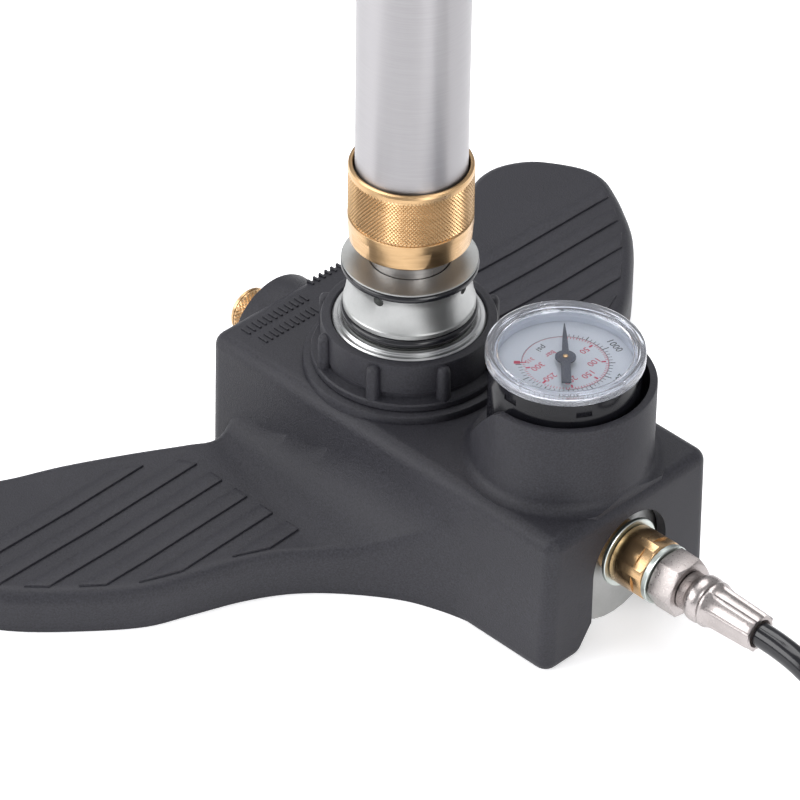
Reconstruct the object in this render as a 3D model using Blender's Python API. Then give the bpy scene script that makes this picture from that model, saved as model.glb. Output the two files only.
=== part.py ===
"""High-pressure hand pump with a moulded foot plate, modelled in metres, +Z up.

The origin is where the pump tube's axis meets the floor. +X points to the gauge and the hose outlet, and the
two foot wings spread along +Y and -Y. The handle is down, at the bottom of its stroke.
"""

import math

import bmesh
import bpy
from mathutils import Matrix, Vector

MM = 0.001
GAP = 0.3 * MM          # between neighbours that touch on the real pump

# ---- driving dimensions -------------------------------------------------------------------------------
TUBE_OD = 38.1 * MM     # 1.5 inch stainless tube
TUBE_WALL = 1.6 * MM
TUBE_LENGTH = 485.0 * MM
INNER_GAP = 3.45 * MM   # between the inner tube and the bore of the pump tube
INNER_WALL = 2.5 * MM
ROD_D = 9.4 * MM
PRESSURE_TUBE_WALL = 2.5 * MM

BLOCK_BACK = -59.0 * MM
BLOCK_FRONT = 105.6 * MM
BLOCK_HALF_WIDTH = 38.3 * MM
BLOCK_HEIGHT = 54.0 * MM
WALL = 4.0 * MM
TOP_WALL = 5.0 * MM
EDGE_ROUND = 5.0 * MM
FOOT_DRAFT = 1.2 * MM   # how far the block's sides spread at the floor

WING_REACH = 170.0 * MM
WING_HEIGHT = 16.0 * MM
WING_EDGE_ROUND = 5.0 * MM

NUT_BOSS_R = 36.5 * MM
NUT_BOSS_Z = BLOCK_HEIGHT + 3.0 * MM
NUT_TOP = BLOCK_HEIGHT + 19.9 * MM
NUT_R = 30.4 * MM
NUT_FLANGE_R = 33.7 * MM
NUT_LUGS = 8
NUT_LUG_PHASE = math.radians(22.2)
SOCKET_R = 26.4 * MM

GLAND_FLANGE_R = 23.4 * MM
GLAND_WAIST_R = 21.0 * MM
GLAND_STEM_R = 15.0 * MM
GLAND_FOOT_R = 21.0 * MM
GLAND_TOP = NUT_TOP + 24.5 * MM
ORING_WIRE = 3.0 * MM
ORING_OUTER_R = 23.6 * MM
LOWER_ORING_Z = NUT_TOP + 3.6 * MM
UPPER_ORING_Z = GLAND_TOP - 2.2 * MM

COLLAR_BOTTOM = GLAND_TOP + 7.1 * MM
COLLAR_LENGTH = 31.7 * MM
COLLAR_WALL = 2.35 * MM

GAUGE_X = 73.0 * MM
BEZEL_R = 26.8 * MM
BEZEL_TOP = BLOCK_HEIGHT + 45.2 * MM
CASE_R = 25.6 * MM
TURRET_R = 31.0 * MM
TURRET_BORE_R = 28.4 * MM
TURRET_TOP = BLOCK_HEIGHT + 33.0 * MM

MANIFOLD_R = 23.5 * MM
MANIFOLD_PLAY = 0.5 * MM  # above and behind the manifold inside the shell
PORT_R = 2.0 * MM
FOOT_PAD_R = 12.0 * MM  # takes the pumping load straight to the floor
OUTLET_RISE = 5.6 * MM  # of the outlet above the manifold's axis
ARCH_R = 17.7 * MM
HOSE_OD = 8.8 * MM

BLEED_RISE = 8.0 * MM   # of the bleed valve above the same axis
BLEED_BOSS_R = 20.0 * MM
BLEED_BOSS_LENGTH = 8.5 * MM
BLEED_KNOB_R = 9.0 * MM
BLEED_KNOB_LENGTH = 13.0 * MM

HANDLE_SPAN = 250.0 * MM
CROSSBAR_OD = 20.0 * MM
GRIP_OD = 31.0 * MM
GRIP_LENGTH = 95.0 * MM
CAP_WALL = 4.0 * MM

# ---- places worked out from them ----------------------------------------------------------------------
COLLAR_TOP = COLLAR_BOTTOM + COLLAR_LENGTH
COLLAR_STEP = COLLAR_BOTTOM + 14 * MM
TUBE_BOTTOM = COLLAR_STEP + GAP
TUBE_TOP = TUBE_BOTTOM + TUBE_LENGTH
TUBE_R = TUBE_OD / 2
TUBE_BORE_R = TUBE_R - TUBE_WALL
COLLAR_R = TUBE_R + COLLAR_WALL
CAP_R = TUBE_R + CAP_WALL
INNER_R = TUBE_BORE_R - INNER_GAP
ROD_R = ROD_D / 2
PRESSURE_BORE_R = ROD_R + 2 * GAP
PRESSURE_R = PRESSURE_BORE_R + PRESSURE_TUBE_WALL
HEAD_TOP = TUBE_TOP - 8 * MM
HEAD_LENGTH = 24 * MM
INNER_BOTTOM = GLAND_TOP - 12 * MM
INNER_TOP = HEAD_TOP - 10 * MM
PRESSURE_BOTTOM = GLAND_TOP - 26 * MM
PRESSURE_TOP = HEAD_TOP - HEAD_LENGTH - 6 * MM
ROD_BOTTOM = PRESSURE_BOTTOM + 14 * MM
CAP_TOP = TUBE_TOP + 38 * MM
BAR_Z = TUBE_TOP + 20 * MM
CAVITY_TOP = BLOCK_HEIGHT - TOP_WALL
SOCKET_BOTTOM = CAVITY_TOP - GAP
MANIFOLD_BACK = BLOCK_BACK + WALL + 2 * MM
MANIFOLD_FRONT = BLOCK_FRONT - WALL - 2 * MM
MANIFOLD_Z = CAVITY_TOP - MANIFOLD_R - MANIFOLD_PLAY
OUTLET_Z = MANIFOLD_Z + OUTLET_RISE
BLEED_Z = MANIFOLD_Z + BLEED_RISE
BLEED_BOSS_END = BLOCK_BACK - BLEED_BOSS_LENGTH
CORE_Z = MANIFOLD_Z + 5 * MM              # inside the manifold: bosses that join it start here
OVER_TOP = BLOCK_HEIGHT + 6 * MM          # clear of the block: cutters that break its top end here
UNDER_TOP = CAVITY_TOP - 9 * MM           # clear of the top wall: cutters that break it start here
SEAT_FLOOR = SOCKET_BOTTOM - 2.7 * MM     # the gland's foot stands here
SEAT_STEP = NUT_BOSS_Z + 5.3 * MM         # the gland widens from its stem here
GAUGE_PORT_Z = OUTLET_Z + 5.4 * MM
ORING_R = ORING_WIRE / 2

# ---- materials: colour, roughness, metallic -----------------------------------------------------------
FINISHES = {
    "nylon": ((0.036, 0.034, 0.044), 0.55, 0.0),
    "rubber": ((0.012, 0.012, 0.013), 0.35, 0.0),
    "gloss_black": ((0.010, 0.010, 0.011), 0.15, 0.0),
    "steel": ((0.47, 0.46, 0.46), 0.32, 1.0),
    "aluminium": ((0.60, 0.61, 0.62), 0.38, 1.0),
    "brass": ((0.66, 0.43, 0.20), 0.25, 1.0),
    "nickel": ((0.42, 0.39, 0.37), 0.35, 1.0),
    "zinc": ((0.60, 0.64, 0.60), 0.40, 1.0),
    "dial_white": ((0.82, 0.86, 0.90), 0.50, 0.0),
    "pointer_blue": ((0.05, 0.07, 0.13), 0.40, 0.0),
    "clear": ((0.90, 0.93, 0.95), 0.05, 0.0),
    "bronze": ((0.45, 0.28, 0.12), 0.40, 1.0),
}


# ---- modelling helpers --------------------------------------------------------------------------------
def clear_scene():
    for obj in list(bpy.data.objects):
        bpy.data.objects.remove(obj)


def finish_material(name):
    if name in bpy.data.materials:
        return bpy.data.materials[name]
    colour, roughness, metallic = FINISHES[name]
    material = bpy.data.materials.new(name)
    material.use_nodes = True
    shader = material.node_tree.nodes["Principled BSDF"]
    shader.inputs["Base Color"].default_value = (*colour, 1.0)
    shader.inputs["Roughness"].default_value = roughness
    shader.inputs["Metallic"].default_value = metallic
    material.diffuse_color = (*colour, 1.0)
    return material


def make(name, bm, finish, place=Matrix.Identity(4), parent=None):
    """An object named name from bm, placed by the matrix place, with outward faces."""
    bmesh.ops.remove_doubles(bm, verts=bm.verts, dist=1e-6)
    bmesh.ops.recalc_face_normals(bm, faces=bm.faces)
    mesh = bpy.data.meshes.new(name)
    bm.to_mesh(mesh)
    bm.free()
    mesh.shade_smooth()
    mesh.set_sharp_from_angle(angle=math.radians(35))
    mesh.materials.append(finish_material(finish))
    obj = bpy.data.objects.new(name, mesh)
    bpy.context.scene.collection.objects.link(obj)
    obj.matrix_world = place
    if parent:
        obj.parent = parent
        obj.matrix_parent_inverse = parent.matrix_world.inverted()
    return obj


def turned(name, profile, finish, segments=32, place=Matrix.Identity(4), parent=None):
    """A turned piece: profile lists (radius, height) along the local Z axis. It closes on itself, or on the axis."""
    bm = bmesh.new()
    points = [bm.verts.new((radius, 0, height)) for radius, height in profile]
    on_axis = profile[0][0] == 0 and profile[-1][0] == 0
    pairs = list(zip(points, points[1:]))
    if not on_axis:
        pairs.append((points[-1], points[0]))
    edges = [bm.edges.new(pair) for pair in pairs]
    bmesh.ops.spin(bm, geom=points + edges, cent=(0, 0, 0), axis=(0, 0, 1), angle=2 * math.pi, steps=segments,
                   use_merge=True)
    return make(name, bm, finish, place, parent)


def ring(name, inner, outer, low, high, finish, segments=32, place=Matrix.Identity(4), parent=None):
    profile = [(inner, low), (outer, low), (outer, high), (inner, high)]
    return turned(name, profile, finish, segments, place, parent)


def o_ring(name, outer, wire, height, finish="rubber", segments=24, parent=None):
    """A ring of round section, in metres, with its outer radius at the given height."""
    middle = outer - wire / 2
    steps = 6
    turn = 2 * math.pi / steps
    profile = [(middle + wire / 2 * math.cos(turn * i), height + wire / 2 * math.sin(turn * i)) for i in range(steps)]
    return turned(name, profile, finish, segments, parent=parent)


def along_x(x, y, z):
    """Places a piece turned about Z so that its local +Z points along +X."""
    return Matrix.Translation((x, y, z)) @ Matrix.Rotation(math.pi / 2, 4, "Y")


def along_minus_x(x, y, z):
    return Matrix.Translation((x, y, z)) @ Matrix.Rotation(-math.pi / 2, 4, "Y")


def along_y(x, y, z):
    return Matrix.Translation((x, y, z)) @ Matrix.Rotation(-math.pi / 2, 4, "X")


def box(name, low, high, finish, parent=None):
    bm = bmesh.new()
    bmesh.ops.create_cube(bm, size=1.0)
    size = Vector(high) - Vector(low)
    middle = (Vector(high) + Vector(low)) / 2
    for vert in bm.verts:
        vert.co = middle + Vector((vert.co.x * size.x, vert.co.y * size.y, vert.co.z * size.z))
    return make(name, bm, finish, parent=parent)


def combine(target, tool, operation="DIFFERENCE", solver="MANIFOLD"):
    """Cuts tool from target, or joins it, and hides the tool. Both are closed, so MANIFOLD keeps ring faces whole."""
    modifier = target.modifiers.new(operation.lower() + "_" + tool.name, "BOOLEAN")
    modifier.operation = operation
    modifier.object = tool
    modifier.solver = solver
    tool.hide_render = True
    tool.display_type = "WIRE"


def joint_empty(name, point):
    empty = bpy.data.objects.new(name, None)
    empty.location = point
    bpy.context.scene.collection.objects.link(empty)
    bpy.context.view_layer.update()
    return empty


def smooth_route(route, count):
    """count points on a smooth curve through the route's points, evenly spread along its length."""
    points = [Vector(p) for p in route]
    ends = [2 * points[0] - points[1]] + points + [2 * points[-1] - points[-2]]
    dense = []
    for i in range(1, len(ends) - 2):
        p0, p1, p2, p3 = ends[i - 1:i + 3]
        for k in range(24):
            t = k / 24
            dense.append(0.5 * (2 * p1 + (p2 - p0) * t + (2 * p0 - 5 * p1 + 4 * p2 - p3) * t * t
                                + (3 * p1 - p0 - 3 * p2 + p3) * t ** 3))
    dense.append(points[-1])
    run = [0.0]
    for a, b in zip(dense, dense[1:]):
        run.append(run[-1] + (b - a).length)
    result = []
    k = 0
    for i in range(count):
        wanted = run[-1] * i / (count - 1)
        while k < len(run) - 2 and run[k + 1] < wanted:
            k += 1
        share = (wanted - run[k]) / (run[k + 1] - run[k])
        result.append(dense[k].lerp(dense[k + 1], share))
    return result


def tube_on(name, points, radius, finish, resolution=3):
    curve = bpy.data.curves.new(name, "CURVE")
    curve.dimensions = "3D"
    curve.bevel_depth = radius
    curve.bevel_resolution = resolution
    curve.use_fill_caps = True
    spline = curve.splines.new("POLY")
    spline.points.add(len(points) - 1)
    for slot, point in zip(spline.points, points):
        slot.co = (*point, 1.0)
    curve.materials.append(finish_material(finish))
    obj = bpy.data.objects.new(name, curve)
    bpy.context.scene.collection.objects.link(obj)
    return obj


# ---- foot plate ---------------------------------------------------------------------------------------
# Half outline of one wing on the floor, from its root on the front edge, round the tip, to its root at the back.
# x in millimetres; y as a share of the way from the block's side to the wing's tip.
WING_OUTLINE = [(90, -0.10), (76, -0.02), (58, 0.02), (44, 0.065), (28, 0.155), (16, 0.25), (7.5, 0.36),
                (0.5, 0.495), (-6, 0.615), (-20, 0.75), (-34, 0.86), (-47, 0.93), (-56, 0.97), (-65, 1.0),
                (-74, 1.0), (-84, 0.965), (-94, 0.905), (-99.5, 0.82), (-99, 0.735), (-93.5, 0.66), (-86.5, 0.57),
                (-77.5, 0.42), (-66, 0.265), (-55, 0.13), (-50, 0.06), (-49, -0.10)]
# The line down the middle of the wing that its surface rows run to.
WING_SPINE = [(20, -0.12), (0, 0.10), (-24, 0.36), (-48, 0.60), (-64, 0.80)]


BELOW = 2 * MM          # the solids are made this much too deep, then cut off level at the floor


def wing_point(point):
    reach = WING_REACH - BLOCK_HALF_WIDTH
    return Vector((point[0] * MM, BLOCK_HALF_WIDTH + point[1] * reach, 0))


def wing_height(x, y):
    """Top of a wing: nearly level, rising in a hollow curve to the block's side."""
    beyond = max(y - BLOCK_HALF_WIDTH, 0.0)
    along = min(max((x - BLOCK_BACK) / (80 * MM), 0.0), 1.0)
    sweep = (6 + 22 * along) * MM
    near = max(sweep - beyond, 0.0)
    rise = sweep - math.sqrt(max(sweep ** 2 - near ** 2, 0.0))
    slope = 2.5 * MM * max(1 - beyond / (70 * MM), 0.0)
    return min(WING_HEIGHT + slope + rise, CAVITY_TOP)


def wing(name, side, finish, spans=14, rows=6):
    """One wing as a closed solid, its surface running from the outline to the spine in rows."""
    floor = -1.5 * BELOW
    tip_steps = spans // 2
    front_end, back_start = 0.50, 0.62
    shares = [front_end * j / spans for j in range(spans + 1)]
    shares += [front_end + (back_start - front_end) * k / tip_steps for k in range(1, tip_steps)]
    shares += [back_start + (1 - back_start) * j / spans for j in range(spans + 1)]
    targets = list(range(spans + 1)) + [spans] * (tip_steps - 1) + list(range(spans, -1, -1))
    fine = 400
    outline = smooth_route([wing_point(p) for p in WING_OUTLINE], fine + 1)
    middles = smooth_route([wing_point(p) for p in WING_SPINE], spans + 1)
    bm = bmesh.new()

    def vertex(point, z):
        return bm.verts.new((point.x, side * point.y, z))

    spine = [vertex(p, wing_height(p.x, p.y)) for p in middles]
    columns = []
    for share, target in zip(shares, targets):
        outer = outline[int(round(share * fine))]
        inward = middles[target] - outer
        column = [vertex(outer, floor)]
        for row in range(rows):
            along = (row / rows) ** 1.6
            point = outer + inward * along
            lack = max(WING_EDGE_ROUND - inward.length * along, 0.0)
            edge_drop = WING_EDGE_ROUND - math.sqrt(WING_EDGE_ROUND ** 2 - lack ** 2)
            column.append(vertex(point, wing_height(point.x, point.y) - edge_drop))
        columns.append(column + [spine[target]])
    for a, b in zip(columns, columns[1:]):
        for k in range(rows):
            bm.faces.new((a[k], a[k + 1], b[k + 1], b[k]))
        last = [a[rows], a[rows + 1], b[rows + 1], b[rows]]
        bm.faces.new(list(dict.fromkeys(last)))
    bm.faces.new([column[0] for column in columns])
    bm.faces.new(columns[0] + columns[-1][-2::-1])
    bmesh.ops.triangulate(bm, faces=[face for face in bm.faces if len(face.verts) > 4])
    return make(name, bm, finish)


def block_solid(name, inset, top, finish, rounding):
    """The block's outer shape, or its cavity where inset is a wall's thickness."""
    bm = bmesh.new()
    bmesh.ops.create_cube(bm, size=1.0)
    for vert in bm.verts:
        low = vert.co.z < 0
        spread = FOOT_DRAFT if low else 0.0
        x = BLOCK_FRONT - inset if vert.co.x > 0 else BLOCK_BACK + inset
        y = BLOCK_HALF_WIDTH - inset + spread
        floor = -2.5 * BELOW if inset else -BELOW
        vert.co = Vector((x, math.copysign(y, vert.co.y), floor if low else top))
    upper = [edge for edge in bm.edges if max(v.co.z for v in edge.verts) > top - 1e-5]
    bmesh.ops.bevel(bm, geom=upper, offset=rounding, segments=3, affect="EDGES", profile=0.5)
    return make(name, bm, finish)


def arch_cutter():
    """Round-topped opening in the front wall, flaring out at the floor."""
    half = ARCH_R
    spring = OUTLET_Z - 1.8 * MM
    flare = half + 11.9 * MM
    flare_top = spring - 18.4 * MM
    steps = 12
    outline = [(-flare, -7 * MM), (-half, flare_top)]
    outline += [(-half * math.cos(math.pi * i / steps), spring + half * math.sin(math.pi * i / steps))
                for i in range(steps + 1)]
    outline += [(half, flare_top), (flare, -7 * MM)]
    bm = bmesh.new()
    face = bm.faces.new([bm.verts.new((BLOCK_FRONT - WALL - 2 * MM, y, z)) for y, z in outline])
    moved = bmesh.ops.extrude_face_region(bm, geom=[face])["geom"]
    bmesh.ops.translate(bm, verts=[v for v in moved if isinstance(v, bmesh.types.BMVert)],
                        vec=(WALL + 6 * MM, 0, 0))
    return make("cut_arch", bm, "nylon")


# The slope of the turret's open side: millimetres from its axis along X, and below or above its rim.
TURRET_SLOPE = [(-24.3, -28.0), (-16.0, -17.0), (-10.0, -9.0), (-6.0, -4.4), (-3.5, -1.7), (-0.5, 0.2)]


def turret_gap_cutter():
    """Takes the gauge turret's wall away on the side that faces the pump tube, up a slope to its full height."""
    back = GAUGE_X - TURRET_R - 6 * MM
    half = TURRET_R + 6 * MM
    over = TURRET_TOP + 8 * MM
    outline = [(GAUGE_X + x * MM, TURRET_TOP + z * MM) for x, z in TURRET_SLOPE]
    outline = [(back, outline[0][1])] + outline + [(outline[-1][0], over), (back, over)]
    bm = bmesh.new()
    face = bm.faces.new([bm.verts.new((x, -half, z)) for x, z in outline])
    moved = bmesh.ops.extrude_face_region(bm, geom=[face])["geom"]
    bmesh.ops.translate(bm, verts=[v for v in moved if isinstance(v, bmesh.types.BMVert)], vec=(0, 2 * half, 0))
    return make("cut_turret_gap", bm, "nylon")


def base_shell():
    shell = block_solid("base_shell", 0.0, BLOCK_HEIGHT, "nylon", EDGE_ROUND)
    for side, label in ((1, "left"), (-1, "right")):
        combine(shell, wing("join_wing_" + label, side, "nylon"), "UNION")
    boss = turned("join_nut_boss", [(0, CORE_Z), (NUT_BOSS_R, CORE_Z), (NUT_BOSS_R, NUT_BOSS_Z - 1 * MM),
                                    (NUT_BOSS_R - 1 * MM, NUT_BOSS_Z), (0, NUT_BOSS_Z)], "nylon", 36)
    combine(shell, boss, "UNION")
    base = BLOCK_HEIGHT - 3 * MM
    turret = turned("join_turret", [(0, base), (TURRET_R + 4 * MM, base), (TURRET_R + 4 * MM, BLOCK_HEIGHT),
                                    (TURRET_R + 1.2 * MM, BLOCK_HEIGHT + 1.3 * MM), (TURRET_R, BLOCK_HEIGHT + 4 * MM),
                                    (TURRET_R, TURRET_TOP), (0, TURRET_TOP)], "nylon", 32,
                    Matrix.Translation((GAUGE_X, 0, 0)))
    face = GAUGE_X + TURRET_R + 0.2 * MM      # the turret's foot stops here, short of the rounded front edge
    combine(turret, box("cut_turret_face", (face, -BLOCK_HALF_WIDTH, base - 1 * MM),
                        (face + 10 * MM, BLOCK_HALF_WIDTH, OVER_TOP), "nylon"))
    combine(shell, turret, "UNION")
    bleed = turned("join_bleed_boss", [(0, 0), (BLEED_BOSS_R, 0), (BLEED_BOSS_R, 20 * MM), (0, 20 * MM)], "nylon", 32,
                   along_x(BLEED_BOSS_END, 0, BLEED_Z))
    combine(shell, bleed, "UNION")
    combine(shell, block_solid("cut_cavity", WALL, CAVITY_TOP, "nylon", 2 * MM))
    cutters = [
        turned("cut_socket_hole", [(0, UNDER_TOP), (SOCKET_R + GAP, UNDER_TOP), (SOCKET_R + GAP, NUT_BOSS_Z + 5 * MM),
                                   (0, NUT_BOSS_Z + 5 * MM)], "nylon", 40),
        turned("cut_turret_bore", [(0, UNDER_TOP), (8 * MM, UNDER_TOP), (8 * MM, BLOCK_HEIGHT + 1 * MM),
                                   (TURRET_BORE_R, BLOCK_HEIGHT + 1 * MM), (TURRET_BORE_R, TURRET_TOP + 5 * MM),
                                   (0, TURRET_TOP + 5 * MM)], "nylon", 32, Matrix.Translation((GAUGE_X, 0, 0))),
        turned("cut_bleed_hole", [(0, 0), (9 * MM, 0), (9 * MM, 25 * MM), (0, 25 * MM)], "nylon", 22,
               along_x(BLEED_BOSS_END - 2 * MM, 0, BLEED_Z)),
        turret_gap_cutter(),
        arch_cutter(),
    ]
    cutters.append(box("cut_floor", (-0.3, -0.3, -0.05), (0.3, 0.3, 0), "nylon"))
    for cutter in cutters:
        combine(shell, cutter)
    return shell


# ---- pressure parts in the base -----------------------------------------------------------------------
VALVE_BALL_R = 3.5 * MM
VALVE_CHAMBER_R = 4.4 * MM
STUB_R = 18.0 * MM
STUB_BOTTOM = SOCKET_BOTTOM - 8 * MM
VALVE_SEAT_Z = STUB_BOTTOM - GAP
VALVE_BALL_Z = VALVE_SEAT_Z - VALVE_BALL_R - GAP


def manifold():
    length = MANIFOLD_FRONT - MANIFOLD_BACK
    bar = turned("manifold_block", [(0, 0), (MANIFOLD_R, 0), (MANIFOLD_R, length), (0, length)], "aluminium", 30,
                 along_x(MANIFOLD_BACK, 0, MANIFOLD_Z))
    flange = turned("join_clamp_flange", [(0, CORE_Z), (29.5 * MM, CORE_Z), (29.5 * MM, SOCKET_BOTTOM - GAP),
                                          (0, SOCKET_BOTTOM - GAP)], "aluminium", 30)
    combine(bar, flange, "UNION")
    gauge_pad = turned("join_gauge_pad", [(0, CORE_Z), (12 * MM, CORE_Z), (12 * MM, CAVITY_TOP - GAP),
                                          (0, CAVITY_TOP - GAP)], "aluminium", 24, Matrix.Translation((GAUGE_X, 0, 0)))
    combine(bar, gauge_pad, "UNION")
    pad_top = MANIFOLD_Z - MANIFOLD_R / 2
    foot_pad = turned("join_foot_pad", [(0, 0), (FOOT_PAD_R, 0), (FOOT_PAD_R, pad_top), (0, pad_top)], "aluminium", 24)
    combine(bar, foot_pad, "UNION")
    chamber_low = VALVE_BALL_Z - VALVE_BALL_R - 12 * MM
    cutters = [
        turned("cut_stub_bore", [(0, VALVE_SEAT_Z), (STUB_R + GAP, VALVE_SEAT_Z), (STUB_R + GAP, OVER_TOP),
                                 (0, OVER_TOP)], "aluminium", 24),
        turned("cut_valve_chamber", [(0, chamber_low), (VALVE_CHAMBER_R, chamber_low), (VALVE_CHAMBER_R, SEAT_FLOOR),
                                     (0, SEAT_FLOOR)], "aluminium", 14),
        turned("cut_outlet_port", [(0, 0), (6.3 * MM, 0), (6.3 * MM, 16 * MM), (PORT_R, 16 * MM),
                                   (PORT_R, MANIFOLD_FRONT + 2 * MM), (0, MANIFOLD_FRONT + 2 * MM)], "aluminium", 14,
               along_minus_x(MANIFOLD_FRONT + 2 * MM, 0, OUTLET_Z)),
        turned("cut_bleed_port", [(0, 0), (6.3 * MM, 0), (6.3 * MM, 14 * MM), (PORT_R, 14 * MM),
                                  (PORT_R, 2 * MM - BLOCK_BACK), (0, 2 * MM - BLOCK_BACK)], "aluminium", 14,
               along_x(BLOCK_BACK - 1 * MM, 0, BLEED_Z)),
        turned("cut_gauge_port", [(0, OUTLET_Z), (PORT_R, OUTLET_Z), (PORT_R, GAUGE_PORT_Z), (5.4 * MM, GAUGE_PORT_Z),
                                  (5.4 * MM, OVER_TOP), (0, OVER_TOP)], "aluminium", 14,
               Matrix.Translation((GAUGE_X, 0, 0))),
    ]
    for cutter in cutters:
        combine(bar, cutter)
    return bar


def socket():
    """Bright turned seat that the ring nut screws on to, with the gland's bore in its middle."""
    top = NUT_TOP
    return turned("seat_socket", [(PORT_R, STUB_BOTTOM), (STUB_R, STUB_BOTTOM), (STUB_R, SOCKET_BOTTOM),
                                  (SOCKET_R, SOCKET_BOTTOM), (SOCKET_R, top - 0.6 * MM), (SOCKET_R - 0.6 * MM, top),
                                  (24.4 * MM, top), (24.4 * MM, top + 1.0 * MM), (22.4 * MM, top + 1.0 * MM),
                                  (GLAND_FOOT_R + GAP, top), (GLAND_FOOT_R + GAP, SEAT_STEP),
                                  (GLAND_STEM_R + GAP, SEAT_STEP), (GLAND_STEM_R + GAP, SEAT_FLOOR),
                                  (PORT_R, SEAT_FLOOR)], "aluminium", 30)


def ring_nut(parent):
    """Castellated hand nut: a turned ring whose outer wall swells into lugs."""
    bore = SOCKET_R + GAP
    low = NUT_BOSS_Z + GAP
    shoulder = low + 2.7 * MM
    lug_top = NUT_TOP - 2.0 * MM
    lug_r = NUT_FLANGE_R - 0.5 * MM
    half_lug = 2.3 * MM / NUT_R
    bm = bmesh.new()
    rings = []
    angles = []
    for k in range(NUT_LUGS):
        middle = NUT_LUG_PHASE + 2 * math.pi * k / NUT_LUGS
        gap = 2 * math.pi / NUT_LUGS - 2 * half_lug
        angles += [(middle - half_lug, 0), (middle - 0.6 * half_lug, 1), (middle + 0.6 * half_lug, 1),
                   (middle + half_lug, 0), (middle + half_lug + gap / 3, 0), (middle + half_lug + 2 * gap / 3, 0)]
    rows = [(low, lambda lug: bore), (low, lambda lug: NUT_FLANGE_R), (shoulder, lambda lug: NUT_FLANGE_R),
            (shoulder, lambda lug: lug_r if lug else NUT_R), (lug_top, lambda lug: lug_r if lug else NUT_R),
            (lug_top + 1 * MM, lambda lug: NUT_R), (NUT_TOP - 0.4 * MM, lambda lug: NUT_R - 0.2 * MM),
            (NUT_TOP, lambda lug: NUT_R - 0.8 * MM), (NUT_TOP, lambda lug: bore)]
    for height, radius in rows:
        rings.append([bm.verts.new((radius(lug) * math.cos(a), radius(lug) * math.sin(a), height))
                      for a, lug in angles])
    count = len(angles)
    for lower, upper in zip(rings, rings[1:] + rings[:1]):
        for i in range(count):
            j = (i + 1) % count
            bm.faces.new((lower[i], lower[j], upper[j], upper[i]))
    return make("ring_nut", bm, "nylon", parent=parent)


def gland():
    groove_r = ORING_OUTER_R - ORING_WIRE - GAP
    half = ORING_R + GAP
    low, high = LOWER_ORING_Z, UPPER_ORING_Z
    flange = GLAND_FLANGE_R
    land = flange - 0.6 * MM
    waist_low = low + half + 1.6 * MM
    waist_high = high - half - 3.8 * MM
    foot = NUT_TOP + 1.0 * MM + GAP
    profile = [(PORT_R, SEAT_FLOOR + GAP), (GLAND_STEM_R, SEAT_FLOOR + GAP), (GLAND_STEM_R, SEAT_STEP + GAP),
               (GLAND_FOOT_R, SEAT_STEP + GAP), (GLAND_FOOT_R, foot), (flange - 0.9 * MM, foot), (land, low - half),
               (groove_r, low - half), (groove_r, low + half), (land, low + half), (land, waist_low),
               (GLAND_WAIST_R + 1.3 * MM, waist_low), (GLAND_WAIST_R, waist_high),
               (GLAND_WAIST_R + 0.4 * MM, high - half), (groove_r, high - half), (groove_r, high + half),
               (flange, high + half), (flange - 0.3 * MM, GLAND_TOP), (INNER_R + GAP, GLAND_TOP),
               (INNER_R + GAP, INNER_BOTTOM - GAP), (PRESSURE_R + GAP, INNER_BOTTOM - GAP),
               (PRESSURE_R + GAP, PRESSURE_BOTTOM - GAP), (PORT_R, PRESSURE_BOTTOM - GAP)]
    body = turned("gland_body", profile, "aluminium", 30)
    for k, angle in enumerate((-75, 15, 105, 195)):
        turn = Matrix.Rotation(math.radians(angle), 4, "Z")
        port = turned(f"cut_gland_port_{k}", [(0, 0), (1.9 * MM, 0), (1.9 * MM, 6 * MM), (0, 6 * MM)], "aluminium", 8,
                      turn @ along_x(GLAND_WAIST_R - 3 * MM, 0, high - half - 2.1 * MM))
        combine(body, port)
    return body


def valve(parent):
    ball = bmesh.new()
    bmesh.ops.create_icosphere(ball, subdivisions=2, radius=VALVE_BALL_R)
    make("check_valve_ball", ball, "steel", Matrix.Translation((0, 0, VALVE_BALL_Z)), parent)
    wire = 0.4 * MM
    radius = VALVE_CHAMBER_R - wire - 2 * GAP
    low = VALVE_BALL_Z - VALVE_BALL_R - 12 * MM + wire + GAP
    high = VALVE_BALL_Z - VALVE_BALL_R - wire - GAP
    coil(name="check_valve_spring", radius=radius, wire=wire, low=low, high=high, turns=4, steps=8)


def coil(name, radius, wire, low, high, turns, steps, place=Matrix.Identity(4), finish="steel"):
    """A round spring: a wire of four sides swept along a helix."""
    count = turns * steps + 1
    points = []
    for i in range(count):
        angle = 2 * math.pi * i / steps
        points.append(place @ Vector((radius * math.cos(angle), radius * math.sin(angle),
                                      low + (high - low) * i / (count - 1))))
    return tube_on(name, points, wire, finish, resolution=0)


# ---- pump tubes ---------------------------------------------------------------------------------------
def inner_tubes():
    ring("inner_tube", INNER_R - INNER_WALL, INNER_R, INNER_BOTTOM, INNER_TOP, "steel", 24)
    ring("pressure_tube", PRESSURE_BORE_R, PRESSURE_R, PRESSURE_BOTTOM, PRESSURE_TOP, "steel", 16)
    head_r = TUBE_BORE_R - 2 * GAP
    seal_r = TUBE_BORE_R - GAP
    seal_z = HEAD_TOP - 5 * MM
    groove = seal_r - 3 * MM - GAP
    bore = ROD_R + GAP
    low = HEAD_TOP - HEAD_LENGTH
    turned("piston_head", [(bore, INNER_TOP + GAP), (INNER_R + GAP, INNER_TOP + GAP), (INNER_R + GAP, low),
                           (head_r, low), (head_r, seal_z - 1.5 * MM - GAP), (groove, seal_z - 1.5 * MM - GAP),
                           (groove, seal_z + 1.5 * MM + GAP), (head_r, seal_z + 1.5 * MM + GAP), (head_r, HEAD_TOP),
                           (bore, HEAD_TOP)], "brass", 24)
    o_ring("piston_seal", seal_r, 3 * MM, seal_z, segments=24)


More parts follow.
